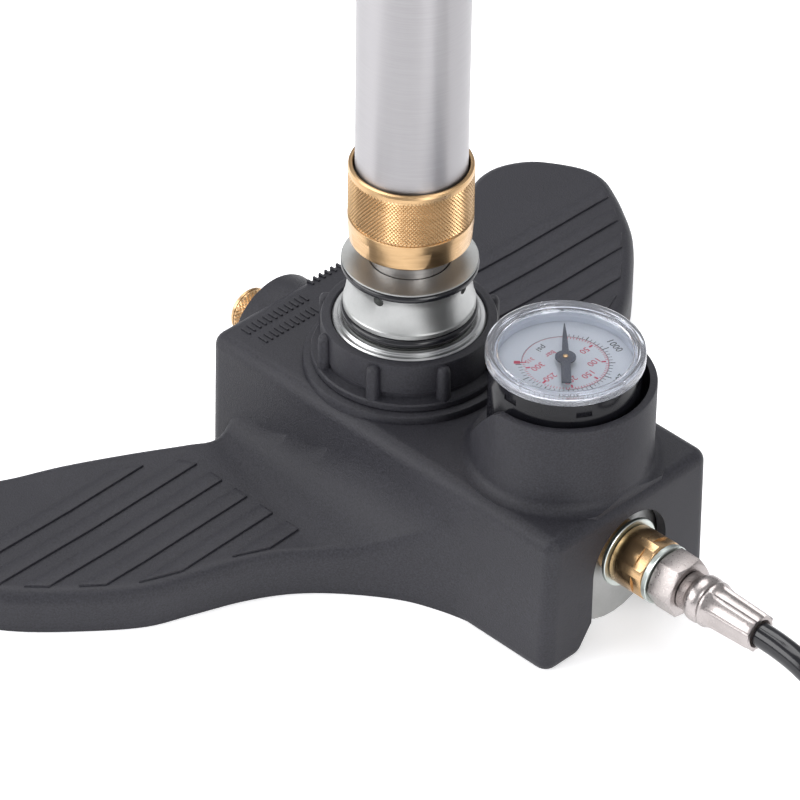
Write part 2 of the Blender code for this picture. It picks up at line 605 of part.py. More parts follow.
def pressure_rod(parent):
    tip = ROD_BOTTOM
    wire = 1.6 * MM
    outer = PRESSURE_BORE_R - GAP
    groove = outer - wire - GAP
    seal_z = tip + 6 * MM
    turned("pressure_rod", [(0, tip), (ROD_R, tip), (ROD_R, seal_z - wire / 2 - GAP), (groove, seal_z - wire / 2 - GAP),
                            (groove, seal_z + wire / 2 + GAP), (ROD_R, seal_z + wire / 2 + GAP),
                            (ROD_R, TUBE_TOP + 8 * MM), (0, TUBE_TOP + 8 * MM)], "steel", 16, parent=parent)
    o_ring("rod_seal", outer, wire, seal_z, segments=16, parent=parent)


def guide_and_wiper(parent):
    outer = COLLAR_R - 3.2 * MM
    inner = INNER_R + GAP
    low = COLLAR_BOTTOM + 2.5 * MM + GAP
    ring("guide_bush", inner, outer - GAP, low, low + 6 * MM, "bronze", 24, parent=parent)
    ring("wiper_seal", inner, outer - GAP, low + 6 * MM + GAP, COLLAR_STEP - GAP, "rubber", 24, parent=parent)


def brass_collar(parent):
    seat = TUBE_R + GAP
    profile = [(INNER_R + 2 * GAP, COLLAR_BOTTOM), (COLLAR_R - 2.8 * MM, COLLAR_BOTTOM),
               (COLLAR_R - 0.7 * MM, COLLAR_BOTTOM + 1.7 * MM), (COLLAR_R - 0.4 * MM, COLLAR_BOTTOM + 3.0 * MM),
               (COLLAR_R, COLLAR_BOTTOM + 8.0 * MM), (COLLAR_R, COLLAR_TOP - 1.2 * MM),
               (COLLAR_R - 1.0 * MM, COLLAR_TOP), (seat, COLLAR_TOP), (seat, COLLAR_STEP),
               (COLLAR_R - 3.2 * MM, COLLAR_STEP), (COLLAR_R - 3.2 * MM, COLLAR_BOTTOM + 2.5 * MM),
               (INNER_R + 2 * GAP, COLLAR_BOTTOM + 2.5 * MM)]
    return turned("brass_collar", profile, "brass", 30, parent=parent)


def handle(parent):
    ring("outer_tube", TUBE_BORE_R, TUBE_R, TUBE_BOTTOM, TUBE_TOP, "steel", 36, parent=parent)
    skirt = TUBE_TOP - 22 * MM
    seat = TUBE_R + GAP
    cap = turned("handle_cap", [(seat, skirt), (CAP_R - 0.8 * MM, skirt), (CAP_R, skirt + 1.5 * MM),
                                (CAP_R, CAP_TOP - 5 * MM), (CAP_R - 4 * MM, CAP_TOP), (0, CAP_TOP),
                                (0, TUBE_TOP + 8 * MM + GAP), (ROD_R + GAP, TUBE_TOP + 8 * MM + GAP),
                                (ROD_R + GAP, TUBE_TOP + GAP), (seat, TUBE_TOP + GAP)], "nylon", 24, parent=parent)
    bar_r = CROSSBAR_OD / 2
    reach = CAP_R + 10 * MM
    cut = turned("cut_crossbar_hole", [(0, -reach), (bar_r + GAP, -reach), (bar_r + GAP, reach), (0, reach)],
                 "nylon", 24, along_y(0, 0, BAR_Z))
    combine(cap, cut)
    screw_hole = turned("cut_screw_hole", [(0, BAR_Z), (3.3 * MM, BAR_Z), (3.3 * MM, CAP_TOP - 3 * MM),
                                           (5.8 * MM, CAP_TOP - 3 * MM), (5.8 * MM, CAP_TOP + 5 * MM),
                                           (0, CAP_TOP + 5 * MM)], "nylon", 16)
    combine(cap, screw_hole)
    tip = BAR_Z + bar_r + GAP
    seat_z = CAP_TOP - 3 * MM + GAP
    turned("handle_screw", [(0, tip), (3 * MM, tip), (3 * MM, seat_z), (5.5 * MM, seat_z), (5.5 * MM, CAP_TOP - GAP),
                            (2.5 * MM, CAP_TOP - GAP), (2.5 * MM, CAP_TOP - 2 * MM), (0, CAP_TOP - 2 * MM)],
           "steel", 12, parent=parent)
    half = HANDLE_SPAN / 2
    bar_end = half - 4 * MM - GAP
    ring("crossbar", bar_r - 2 * MM, bar_r, -bar_end, bar_end, "steel", 24, along_y(0, 0, BAR_Z), parent)
    for side, label in ((1, "left"), (-1, "right")):
        place = along_y(0, 0, BAR_Z) if side > 0 else along_y(0, 0, BAR_Z) @ Matrix.Rotation(math.pi, 4, "X")
        inner = half - GRIP_LENGTH
        grip_r = GRIP_OD / 2
        turned("grip_" + label, [(bar_r + GAP, inner), (grip_r - 1 * MM, inner), (grip_r, inner + 1.5 * MM),
                                 (grip_r, half - 3 * MM), (grip_r - 3 * MM, half), (0, half),
                                 (0, half - 4 * MM), (bar_r + GAP, half - 4 * MM)], "rubber", 24, place, parent)


# ---- gauge --------------------------------------------------------------------------------------------
DIAL_Z = BEZEL_TOP - 7.5 * MM
CASE_FLOOR = BLOCK_HEIGHT + 3 * MM


def gauge(pointer_parent):
    place = Matrix.Translation((GAUGE_X, 0, 0))
    stem_r = 5.0 * MM
    rim = BEZEL_TOP - 3.9 * MM
    skirt = rim - 0.6 * MM
    turned("gauge_case", [(stem_r + GAP, CASE_FLOOR), (CASE_R, CASE_FLOOR), (CASE_R, rim), (CASE_R - 1.5 * MM, rim),
                          (CASE_R - 1.5 * MM, CASE_FLOOR + 2 * MM), (stem_r + GAP, CASE_FLOOR + 2 * MM)],
           "gloss_black", 30, place)
    turned("gauge_window", [(0, rim + 1 * MM), (CASE_R, rim + GAP), (CASE_R + GAP, rim + GAP),
                            (CASE_R + GAP, skirt), (BEZEL_R, skirt), (BEZEL_R, BEZEL_TOP - 0.8 * MM),
                            (BEZEL_R - 0.8 * MM, BEZEL_TOP), (BEZEL_R - 2.4 * MM, BEZEL_TOP),
                            (BEZEL_R - 3.2 * MM, BEZEL_TOP - 1 * MM), (0, BEZEL_TOP - 1 * MM)], "clear", 30, place)
    stem_top = CASE_FLOOR + 14 * MM
    turned("gauge_stem", [(PORT_R, GAUGE_PORT_Z + GAP), (stem_r, GAUGE_PORT_Z + GAP), (stem_r, CASE_FLOOR + 4 * MM),
                          (7 * MM, CASE_FLOOR + 4 * MM), (7 * MM, stem_top), (0, stem_top),
                          (0, stem_top - 4 * MM), (PORT_R, stem_top - 4 * MM)], "brass", 20, place)
    hub_r = 1.0 * MM
    hole = hub_r + GAP
    ring("gauge_dial", hole, CASE_R - 1.5 * MM - GAP, DIAL_Z - 0.8 * MM, DIAL_Z, "dial_white", 30, place)
    movement = box("gauge_movement", (GAUGE_X - 9 * MM, -6 * MM, stem_top + GAP),
                   (GAUGE_X + 9 * MM, 6 * MM, DIAL_Z - 0.8 * MM - 2 * MM), "brass")
    spindle_hole = turned("cut_spindle_hole", [(0, stem_top - 2 * MM), (hole, stem_top - 2 * MM), (hole, DIAL_Z + MM),
                                               (0, DIAL_Z + MM)], "brass", 12, place)
    combine(movement, spindle_hole)
    bourdon(stem_top)
    pointer(hub_r, stem_top, pointer_parent)


def bourdon(stem_top):
    """The curved tube that the pressure uncurls, round the movement inside the case."""
    radius = 17 * MM
    height = stem_top + 5 * MM
    count = 20
    points = []
    for i in range(count):
        angle = math.radians(-130 + 250 * i / (count - 1))
        points.append(Vector((GAUGE_X + radius * math.cos(angle), radius * math.sin(angle), height)))
    tube_on("bourdon_tube", points, 1.8 * MM, "bronze", resolution=1)


POINTER_REST = math.radians(135)   # the scale's zero, counted from +X towards +Y


def pointer(hub_r, stem_top, parent):
    """Flat blade with a broad tail, on a spindle that runs down through the dial."""
    low = DIAL_Z + 2.2 * MM
    thick = 0.5 * MM
    outline = [(18.5, 0.0), (12.0, 0.75), (3.2, 1.2), (2.4, 2.6), (-2.4, 2.6), (-3.2, 1.7), (-14.0, 1.7),
               (-14.0, -1.7), (-3.2, -1.7), (-2.4, -2.6), (2.4, -2.6), (3.2, -1.2), (12.0, -0.75)]
    bm = bmesh.new()
    turn = Matrix.Rotation(POINTER_REST, 4, "Z")
    face = bm.faces.new([bm.verts.new(turn @ Vector((x * MM, y * MM, low))) for x, y in outline])
    moved = bmesh.ops.extrude_face_region(bm, geom=[face])["geom"]
    bmesh.ops.translate(bm, verts=[v for v in moved if isinstance(v, bmesh.types.BMVert)], vec=(0, 0, thick))
    place = Matrix.Translation((GAUGE_X, 0, 0))
    blade = make("gauge_pointer", bm, "pointer_blue", place, parent)
    spindle_low = stem_top + 2 * MM
    spindle = turned("join_spindle", [(0, spindle_low), (hub_r, spindle_low), (hub_r, low + thick),
                                      (2.0 * MM, low + thick), (2.0 * MM, low + thick + 0.6 * MM),
                                      (0, low + thick + 0.6 * MM)], "brass", 12, place)
    combine(blade, spindle, "UNION")


# ---- hose outlet --------------------------------------------------------------------------------------
OUTLET_FACE = MANIFOLD_FRONT + GAP
WASHER_X = BLOCK_FRONT - 1.4 * MM
NUT_FLATS = 19 * MM


def hexagon_r(flats):
    return flats / 2 / math.cos(math.pi / 6)


def outlet():
    start = WASHER_X
    place = along_x(0, 0, OUTLET_Z)
    adapter_r = 10.9 * MM
    body = start + 1.6 * MM + GAP
    end = body + 14 * MM
    stub = MANIFOLD_FRONT - 12 * MM
    hose_stub = end + 8 * MM
    turned("outlet_adapter", [(PORT_R, stub), (6.0 * MM, stub), (6.0 * MM, OUTLET_FACE), (9.5 * MM, OUTLET_FACE),
                              (9.5 * MM, start - GAP), (8.0 * MM, start - GAP), (8.0 * MM, body), (adapter_r, body),
                              (adapter_r, end - 0.8 * MM), (adapter_r - 0.8 * MM, end), (5.0 * MM, end),
                              (5.0 * MM, hose_stub), (PORT_R, hose_stub)], "brass", 24, place)
    ring("outlet_washer", 8.0 * MM + GAP, 12.6 * MM, start, start + 1.6 * MM, "zinc", 24, place)
    washer_end = end + GAP + 2.1 * MM
    ring("bonded_washer", 5.0 * MM + GAP, 10.8 * MM, end + GAP, washer_end, "zinc", 24, place)
    nut_end = washer_end + GAP + 9.8 * MM
    corner = hexagon_r(NUT_FLATS)
    nut = turned("hose_nut", [(0, washer_end + GAP), (corner, washer_end + GAP), (corner, nut_end), (0, nut_end)],
                 "nickel", 6, place)
    low = washer_end - 5 * MM
    high = nut_end + 5 * MM
    step = nut_end - 4 * MM
    combine(nut, turned("cut_nut_bore", [(0, low), (5.0 * MM + GAP, low), (5.0 * MM + GAP, step),
                                         (5.6 * MM + GAP, step), (5.6 * MM + GAP, high), (0, high)],
                        "nickel", 24, place))
    neck = nut_end - 4 * MM + GAP
    collar = nut_end + 3.6 * MM
    collar_end = collar + 6.4 * MM
    nipple = collar_end + 16 * MM
    turned("hose_insert", [(PORT_R, neck), (5.6 * MM, neck), (5.6 * MM, nut_end), (6.9 * MM, nut_end + GAP),
                           (6.9 * MM, collar), (7.8 * MM, collar + 0.8 * MM), (8.5 * MM, collar + 2.6 * MM),
                           (8.5 * MM, collar_end - 1.4 * MM), (7.4 * MM, collar_end), (PORT_R + 0.6 * MM, collar_end),
                           (PORT_R + 0.6 * MM, nipple), (PORT_R, nipple)], "nickel", 24, place)
    hose_r = HOSE_OD / 2
    ferrule = collar_end + GAP
    ferrule_end = ferrule + 21.5 * MM
    turned("hose_ferrule", [(hose_r + GAP, ferrule), (8.3 * MM, ferrule), (8.3 * MM, ferrule + 2 * MM),
                            (7.2 * MM, ferrule_end - 3 * MM), (7.0 * MM, ferrule_end), (hose_r + GAP, ferrule_end)],
           "nickel", 24, place)
    return ferrule_end


# The hose leaves straight and sags to the floor. Points in millimetres from the ferrule's mouth.
HOSE_SAG = [(0, 0, 0), (8, 0, -0.3), (18, 0, -2.0), (30, 0, -6.8), (42, 0, -13.6), (54, 0, -20.2), (64, 0, -24.2),
            (75, 0, -26.1)]
# Its far end leaves the coil's top turn and comes down to the coupler, in millimetres from where it leaves.
HOSE_TAIL = [(0, 0, 0), (-12, 0, -0.4), (-26, 0, -2.2), (-38, 0, -3.1)]
COIL_MIDDLE_R = 47.0 * MM
COUPLER_R = 9.9 * MM
COUPLER_TRAVEL = 4.0 * MM


def hose(mouth):
    """The stretch to the floor, the coil as one turned ring two turns high, and the stretch to the coupler."""
    hose_r = HOSE_OD / 2
    start = Vector((mouth + GAP, 0, OUTLET_Z))
    sag = [start + Vector(p) * MM for p in HOSE_SAG]
    tube_on("hose", smooth_route(sag, 14), hose_r, "gloss_black", resolution=3)
    inner, outer = COIL_MIDDLE_R - hose_r, COIL_MIDDLE_R + hose_r
    clear_by = math.sqrt((outer + hose_r + GAP) ** 2 - COIL_MIDDLE_R ** 2)
    middle = Vector((sag[-1].x + clear_by, sag[-1].y + COIL_MIDDLE_R, 0))
    ring("hose_coil", inner, outer, 0.05 * MM, 2 * HOSE_OD, "gloss_black", 32, Matrix.Translation(middle))
    leaving = middle + Vector((-clear_by, COIL_MIDDLE_R, 1.5 * HOSE_OD))
    tail = [leaving + Vector(p) * MM for p in HOSE_TAIL]
    tube_on("hose_tail", smooth_route(tail, 8), hose_r, "gloss_black", resolution=3)
    return tail[-1]


def coupler(at, sleeve_parent):
    """Quick coupler: a ferrule, a body with a hexagon and an open mouth, and a sprung sleeve that pulls back."""
    place = along_minus_x(at.x - GAP, at.y, at.z)
    hose_r = HOSE_OD / 2
    mouth = 21.5 * MM
    turned("coupler_ferrule", [(hose_r + GAP, 3 * MM), (7.0 * MM, 0), (7.2 * MM, 3 * MM), (8.3 * MM, mouth - 2 * MM),
                               (8.3 * MM, mouth), (hose_r + GAP, mouth)], "nickel", 24, place)
    flats = mouth + GAP
    step = flats + 12 * MM
    front = step + 26 * MM
    barrel = 7.0 * MM
    clip = 1.6 * MM
    turned("coupler_body", [(0, flats), (7.0 * MM, flats), (9.0 * MM, flats + 2 * MM), (9.0 * MM, step),
                            (barrel, step), (barrel, front - 2 * clip), (barrel + 0.9 * MM, front - 2 * clip),
                            (barrel + 0.9 * MM, front - clip), (barrel, front - clip), (barrel - 0.6 * MM, front),
                            (4.6 * MM, front), (4.6 * MM, front - 16 * MM), (PORT_R, front - 16 * MM),
                            (PORT_R, flats + 2 * MM), (0, flats + 2 * MM)], "nickel", 24, place)
    tail = step + COUPLER_TRAVEL + 0.6 * MM
    nose = front - 2 * clip - GAP
    pocket = COUPLER_R - 1.0 * MM
    turned("coupler_sleeve", [(barrel + GAP, nose - 3.5 * MM), (pocket, nose - 3.5 * MM), (pocket, tail),
                              (COUPLER_R - 0.3 * MM, tail), (COUPLER_R, tail + 1 * MM), (COUPLER_R, nose - 1 * MM),
                              (COUPLER_R - 1 * MM, nose), (barrel + GAP, nose)], "nickel", 28, place, sleeve_parent)
    wire = 0.4 * MM
    pressed = nose - 3.5 * MM - COUPLER_TRAVEL - wire - GAP     # drawn at its length with the sleeve pulled back
    coil("coupler_spring", barrel + wire + 2 * GAP, wire, step + wire + GAP, pressed, 4, 9, place, "steel")


# ---- bleed valve --------------------------------------------------------------------------------------
def bleed_valve(parent):
    """A brass bush in the manifold's back port, and a spindle with a knurled knob that opens it."""
    place = along_minus_x(0, 0, BLEED_Z)
    face = -MANIFOLD_BACK
    port_floor = 14 * MM + BLOCK_BACK - MM
    spindle_r = 3.0 * MM
    turned("bleed_bush", [(spindle_r + GAP, -port_floor + GAP), (6.0 * MM, -port_floor + GAP), (6.0 * MM, face + GAP),
                          (8.4 * MM, face + GAP), (8.4 * MM, face + 9 * MM), (spindle_r + GAP, face + 9 * MM)],
           "brass", 24, place)
    knob = -BLEED_BOSS_END + 0.6 * MM
    knob_end = knob + BLEED_KNOB_LENGTH
    depth = knob + 5 * MM
    turned("bleed_spindle", [(0, -port_floor + GAP), (spindle_r, -port_floor + 2.5 * MM), (spindle_r, depth),
                             (0, depth)], "steel", 16, place, parent)
    turned("bleed_knob", [(spindle_r + GAP, knob), (BLEED_KNOB_R - MM, knob), (BLEED_KNOB_R, knob + MM),
                          (BLEED_KNOB_R, knob_end - MM), (BLEED_KNOB_R - MM, knob_end), (0, knob_end),
                          (0, depth + GAP), (spindle_r + GAP, depth + GAP)], "brass", 24, place, parent)


# ---- the pump -----------------------------------------------------------------------------------------
def build_pump():
    clear_scene()
    stroke = joint_empty("pump_stroke", (0, 0, COLLAR_BOTTOM))
    turn = joint_empty("handle_turn", (0, 0, BAR_Z))
    nut_turn = joint_empty("ring_nut_turn", (0, 0, NUT_TOP))
    bleed_turn = joint_empty("bleed_turn", (BLEED_BOSS_END, 0, BLEED_Z))
    pointer_turn = joint_empty("pointer_turn", (GAUGE_X, 0, DIAL_Z))
    valve_lift = joint_empty("valve_lift", (0, 0, VALVE_BALL_Z))

    base_shell()
    manifold()
    socket()
    ring_nut(nut_turn)
    gland()
    o_ring("gland_oring_lower", ORING_OUTER_R, ORING_WIRE, LOWER_ORING_Z)
    o_ring("gland_oring_upper", ORING_OUTER_R, ORING_WIRE, UPPER_ORING_Z)
    valve(valve_lift)
    inner_tubes()
    guide_and_wiper(stroke)
    brass_collar(turn)
    pressure_rod(turn)
    handle(turn)
    gauge(pointer_turn)
    bleed_valve(bleed_turn)
    coupler_at = hose(outlet())
    sleeve_pull = joint_empty("sleeve_pull", coupler_at)
    coupler(coupler_at, sleeve_pull)


build_pump()
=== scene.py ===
"""The looks of a high-pressure hand pump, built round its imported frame.

Metres, +Z up, the pump tube on the Z axis.
"""

import math

import bmesh
import bpy
from mathutils import Matrix, Vector


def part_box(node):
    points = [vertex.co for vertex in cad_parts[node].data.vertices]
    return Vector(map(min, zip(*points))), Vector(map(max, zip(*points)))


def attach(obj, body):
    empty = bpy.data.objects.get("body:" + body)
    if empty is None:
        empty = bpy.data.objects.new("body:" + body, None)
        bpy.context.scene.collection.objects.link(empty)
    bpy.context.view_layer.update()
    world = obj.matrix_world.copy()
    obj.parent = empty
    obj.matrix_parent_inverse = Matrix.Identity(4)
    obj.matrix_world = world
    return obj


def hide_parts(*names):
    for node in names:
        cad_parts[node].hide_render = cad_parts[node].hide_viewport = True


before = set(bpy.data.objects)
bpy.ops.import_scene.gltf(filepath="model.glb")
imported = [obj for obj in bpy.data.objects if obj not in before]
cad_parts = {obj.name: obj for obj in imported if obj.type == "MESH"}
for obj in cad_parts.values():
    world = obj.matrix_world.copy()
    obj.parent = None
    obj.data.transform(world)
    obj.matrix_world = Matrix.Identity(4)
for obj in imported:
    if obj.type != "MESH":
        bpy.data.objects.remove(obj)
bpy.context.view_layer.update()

MM = 0.001
GAP = 0.3 * MM
FULL_TURN = 2 * math.pi
ROUND = 128             # sides of a large turned piece
SMALL_ROUND = 64

# ---- places, from the frame ---------------------------------------------------------------------------
BASE_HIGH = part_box("base_shell")[1]
COLLAR_LOW, COLLAR_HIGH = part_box("brass_collar")
TUBE_LOW, TUBE_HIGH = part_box("outer_tube")
INNER_LOW, INNER_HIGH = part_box("inner_tube")
NUT_LOW, NUT_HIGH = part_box("ring_nut")
SOCKET_LOW, SOCKET_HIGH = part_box("seat_socket")
GLAND_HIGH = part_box("gland_body")[1]
CASE_LOW, CASE_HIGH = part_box("gauge_case")
WINDOW_LOW, WINDOW_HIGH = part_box("gauge_window")
DIAL_LOW, DIAL_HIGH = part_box("gauge_dial")
CAP_LOW, CAP_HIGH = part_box("handle_cap")
BAR_LOW, BAR_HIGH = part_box("crossbar")
KNOB_LOW, KNOB_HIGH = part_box("bleed_knob")

BLOCK_BACK = -59.0 * MM
BLOCK_FRONT = BASE_HIGH.x
BLOCK_HALF_WIDTH = 38.3 * MM
BLOCK_HEIGHT = 54.0 * MM
EDGE_ROUND = 5.0 * MM
FOOT_DRAFT = 1.2 * MM
WALL = 4.0 * MM
CAVITY_TOP = 49.0 * MM
WING_REACH = 169.9 * MM
WING_HEIGHT = 16.0 * MM
WING_EDGE_ROUND = 5.0 * MM
NUT_BOSS_R = 36.5 * MM
NUT_BOSS_Z = 57.0 * MM
NUT_BOSS_FOOT = 30.0 * MM
POCKET_FOOT = 40.0 * MM
SEAT_FLOOR = 46.0 * MM
SEAT_STEP = 62.3 * MM
SPIGOT_R = 15.0 * MM
VALVE_BORE_R = 2.0 * MM
GAUGE_X = (DIAL_LOW.x + DIAL_HIGH.x) / 2
GAUGE_PLACE = Matrix.Translation((GAUGE_X, 0, 0))
TURRET_R = 31.0 * MM
TURRET_BORE_R = 28.4 * MM
TURRET_TOP = BASE_HIGH.z
OUTLET_Z = 30.6 * MM
BLEED_Z = 33.0 * MM
BLEED_BOSS_END = -67.5 * MM
TUBE_R = TUBE_HIGH.x
HOSE_R = 4.4 * MM
BAR_Z = (BAR_LOW.z + BAR_HIGH.z) / 2


# ---- camera -------------------------------------------------------------------------------------------
def set_camera():
    """A long lens from above the front corner, level with a point near the ring nut's top."""
    turn, tilt, roll = math.radians(44.67), math.radians(37.56), math.radians(0.844)
    distance, focal_length = 1.7596, 231.8085
    aside, lower = 3.14257 * MM, -29.58114 * MM
    away = Vector((math.sin(turn) * math.cos(tilt), -math.cos(turn) * math.cos(tilt), math.sin(tilt)))
    level = Vector((math.cos(turn), math.sin(turn), 0))
    up = away.cross(level)
    right = level * math.cos(roll) + up * math.sin(roll)
    up = away.cross(right)
    target = Vector((0, 0, NUT_HIGH.z))
    place = target + distance * away - aside * right + lower * up
    data = bpy.data.cameras.new("studio_camera")
    data.sensor_width = 36
    data.lens = focal_length
    data.clip_start = 0.05
    camera = bpy.data.objects.new("studio_camera", data)
    bpy.context.scene.collection.objects.link(camera)
    camera.matrix_world = Matrix.Translation(place) @ Matrix((right, up, away)).transposed().to_4x4()
    bpy.context.scene.camera = camera


# ---- materials ----------------------------------------------------------------------------------------
def new_finish(name, colour, roughness, metallic=0.0, **sockets):
    """A material and its shader, with the values that are the same all over set on the shader's own sockets."""
    material = bpy.data.materials.new(name)
    material.use_nodes = True
    shader = material.node_tree.nodes["Principled BSDF"]
    shader.inputs["Base Color"].default_value = (*colour, 1)
    shader.inputs["Roughness"].default_value = roughness
    shader.inputs["Metallic"].default_value = metallic
    for socket, value in sockets.items():
        shader.inputs[socket.replace("_", " ")].default_value = value
    return material, shader


def add_node(material, kind, **settings):
    node = material.node_tree.nodes.new(kind)
    for name, value in settings.items():
        if hasattr(node, name):
            setattr(node, name, value)
        else:
            node.inputs[name.replace("_", " ")].default_value = value
    return node


def join(material, source, target):
    material.node_tree.links.new(source, target)


def object_coordinates(material, scale=(1, 1, 1), turn=(0, 0, 0)):
    coordinates = add_node(material, "ShaderNodeTexCoord")
    mapping = add_node(material, "ShaderNodeMapping", Scale=scale, Rotation=turn)
    join(material, coordinates.outputs["Object"], mapping.inputs["Vector"])
    return mapping.outputs["Vector"]


def noise(material, where, scale, detail=3.0, roughness=0.55):
    node = add_node(material, "ShaderNodeTexNoise", Scale=scale, Detail=detail, Roughness=roughness)
    join(material, where, node.inputs["Vector"])
    return node.outputs["Fac"]


def ramp(material, value, low, high, low_colour, high_colour):
    node = add_node(material, "ShaderNodeValToRGB")
    node.color_ramp.elements[0].position = low
    node.color_ramp.elements[1].position = high
    node.color_ramp.elements[0].color = (*low_colour, 1)
    node.color_ramp.elements[1].color = (*high_colour, 1)
    join(material, value, node.inputs["Fac"])
    return node.outputs["Color"]


def span(material, value, low, high):
    node = add_node(material, "ShaderNodeMapRange", From_Min=0.3, From_Max=0.7, To_Min=low, To_Max=high)
    join(material, value, node.inputs["Value"])
    return node.outputs["Result"]


def bump(material, shader, height, depth, strength=1.0):
    node = add_node(material, "ShaderNodeBump", Strength=strength, Distance=depth)
    join(material, height, node.inputs["Height"])
    join(material, node.outputs["Normal"], shader.inputs["Normal"])


def moulded_nylon():
    """Charcoal nylon from a spark-eroded mould: a fine pebbled grain with pale specks where it is rubbed."""
    material, shader = new_finish("moulded_nylon", (0.019, 0.0185, 0.024), 0.5, Specular_IOR_Level=0.36)
    where = object_coordinates(material)
    grain = noise(material, where, 1500, 4, 0.65)
    patches = noise(material, where, 30, 2, 0.5)
    tone = ramp(material, grain, 0.36, 0.72, (0.011, 0.0107, 0.0145), (0.031, 0.0305, 0.039))
    wear = ramp(material, patches, 0.3, 0.8, (0.92, 0.92, 0.92), (1.12, 1.12, 1.12))
    mixed = add_node(material, "ShaderNodeMix", data_type="RGBA", blend_type="MULTIPLY")
    mixed.inputs["Factor"].default_value = 1.0
    first_colour, second_colour, mixed_colour = mixed.inputs[6], mixed.inputs[7], mixed.outputs[2]
    join(material, tone, first_colour)
    join(material, wear, second_colour)
    join(material, mixed_colour, shader.inputs["Base Color"])
    join(material, span(material, grain, 0.44, 0.60), shader.inputs["Roughness"])
    bump(material, shader, grain, 0.00022, 0.75)
    return material


def brushed_tube(name, dark, light, roughness):
    """Tube ground all round: lights spread along it, and very fine lines run round it."""
    material, shader = new_finish(name, light, roughness, 1.0, Anisotropic=0.8, Anisotropic_Rotation=0.25)
    tangent = add_node(material, "ShaderNodeTangent", direction_type="RADIAL", axis="Z")
    join(material, tangent.outputs["Tangent"], shader.inputs["Tangent"])
    lines = noise(material, object_coordinates(material, (0.02, 0.02, 1.0)), 2600, 3, 0.6)
    join(material, ramp(material, lines, 0.25, 0.75, dark, light), shader.inputs["Base Color"])
    return material


def brushed_metal(name, dark, light, roughness, scale, depth=0.00002, grain=900):
    """Metal polished on a lathe: fine lines round the piece, from noise drawn out thin along Z."""
    material, shader = new_finish(name, light, roughness, 1.0)
    lines = noise(material, object_coordinates(material, scale), grain, 3, 0.6)
    clouds = noise(material, object_coordinates(material), 45, 3, 0.5)
    join(material, ramp(material, lines, 0.25, 0.75, dark, light), shader.inputs["Base Color"])
    join(material, span(material, clouds, roughness - 0.05, roughness + 0.06), shader.inputs["Roughness"])
    bump(material, shader, lines, depth, 0.4)
    return material


def cast_metal(name, dark, light, roughness, grain=1400, depth=0.00008, metallic=1.0):
    """Blasted or plated metal: an even fine grain with soft clouds in its tone."""
    material, shader = new_finish(name, light, roughness, metallic)
    where = object_coordinates(material)
    pores = noise(material, where, grain, 4, 0.6)
    clouds = noise(material, where, 60, 3, 0.5)
    join(material, ramp(material, clouds, 0.3, 0.75, dark, light), shader.inputs["Base Color"])
    join(material, span(material, pores, roughness - 0.06, roughness + 0.08), shader.inputs["Roughness"])
    bump(material, shader, pores, depth, 0.5)
    return material


def smooth_plastic(name, dark, light, roughness, grain=700, depth=0.00001, **sockets):
    material, shader = new_finish(name, light, roughness, 0.0, **sockets)
    where = object_coordinates(material)
    haze = noise(material, where, 90, 3, 0.5)
    fine = noise(material, where, grain, 3, 0.5)
    join(material, ramp(material, haze, 0.3, 0.75, dark, light), shader.inputs["Base Color"])
    join(material, span(material, haze, max(roughness - 0.04, 0.02), roughness + 0.05),
         shader.inputs["Roughness"])
    bump(material, shader, fine, depth, 0.4)
    return material


def clear_plastic():
    material, shader = new_finish("clear_plastic", (0.96, 0.975, 1.0), 0.04, 0.0, IOR=1.46,
                                  Transmission_Weight=1.0)
    ripple = noise(material, object_coordinates(material), 120, 2, 0.4)
    join(material, span(material, ripple, 0.02, 0.07), shader.inputs["Roughness"])
    bump(material, shader, ripple, 0.00001, 0.2)
    return material


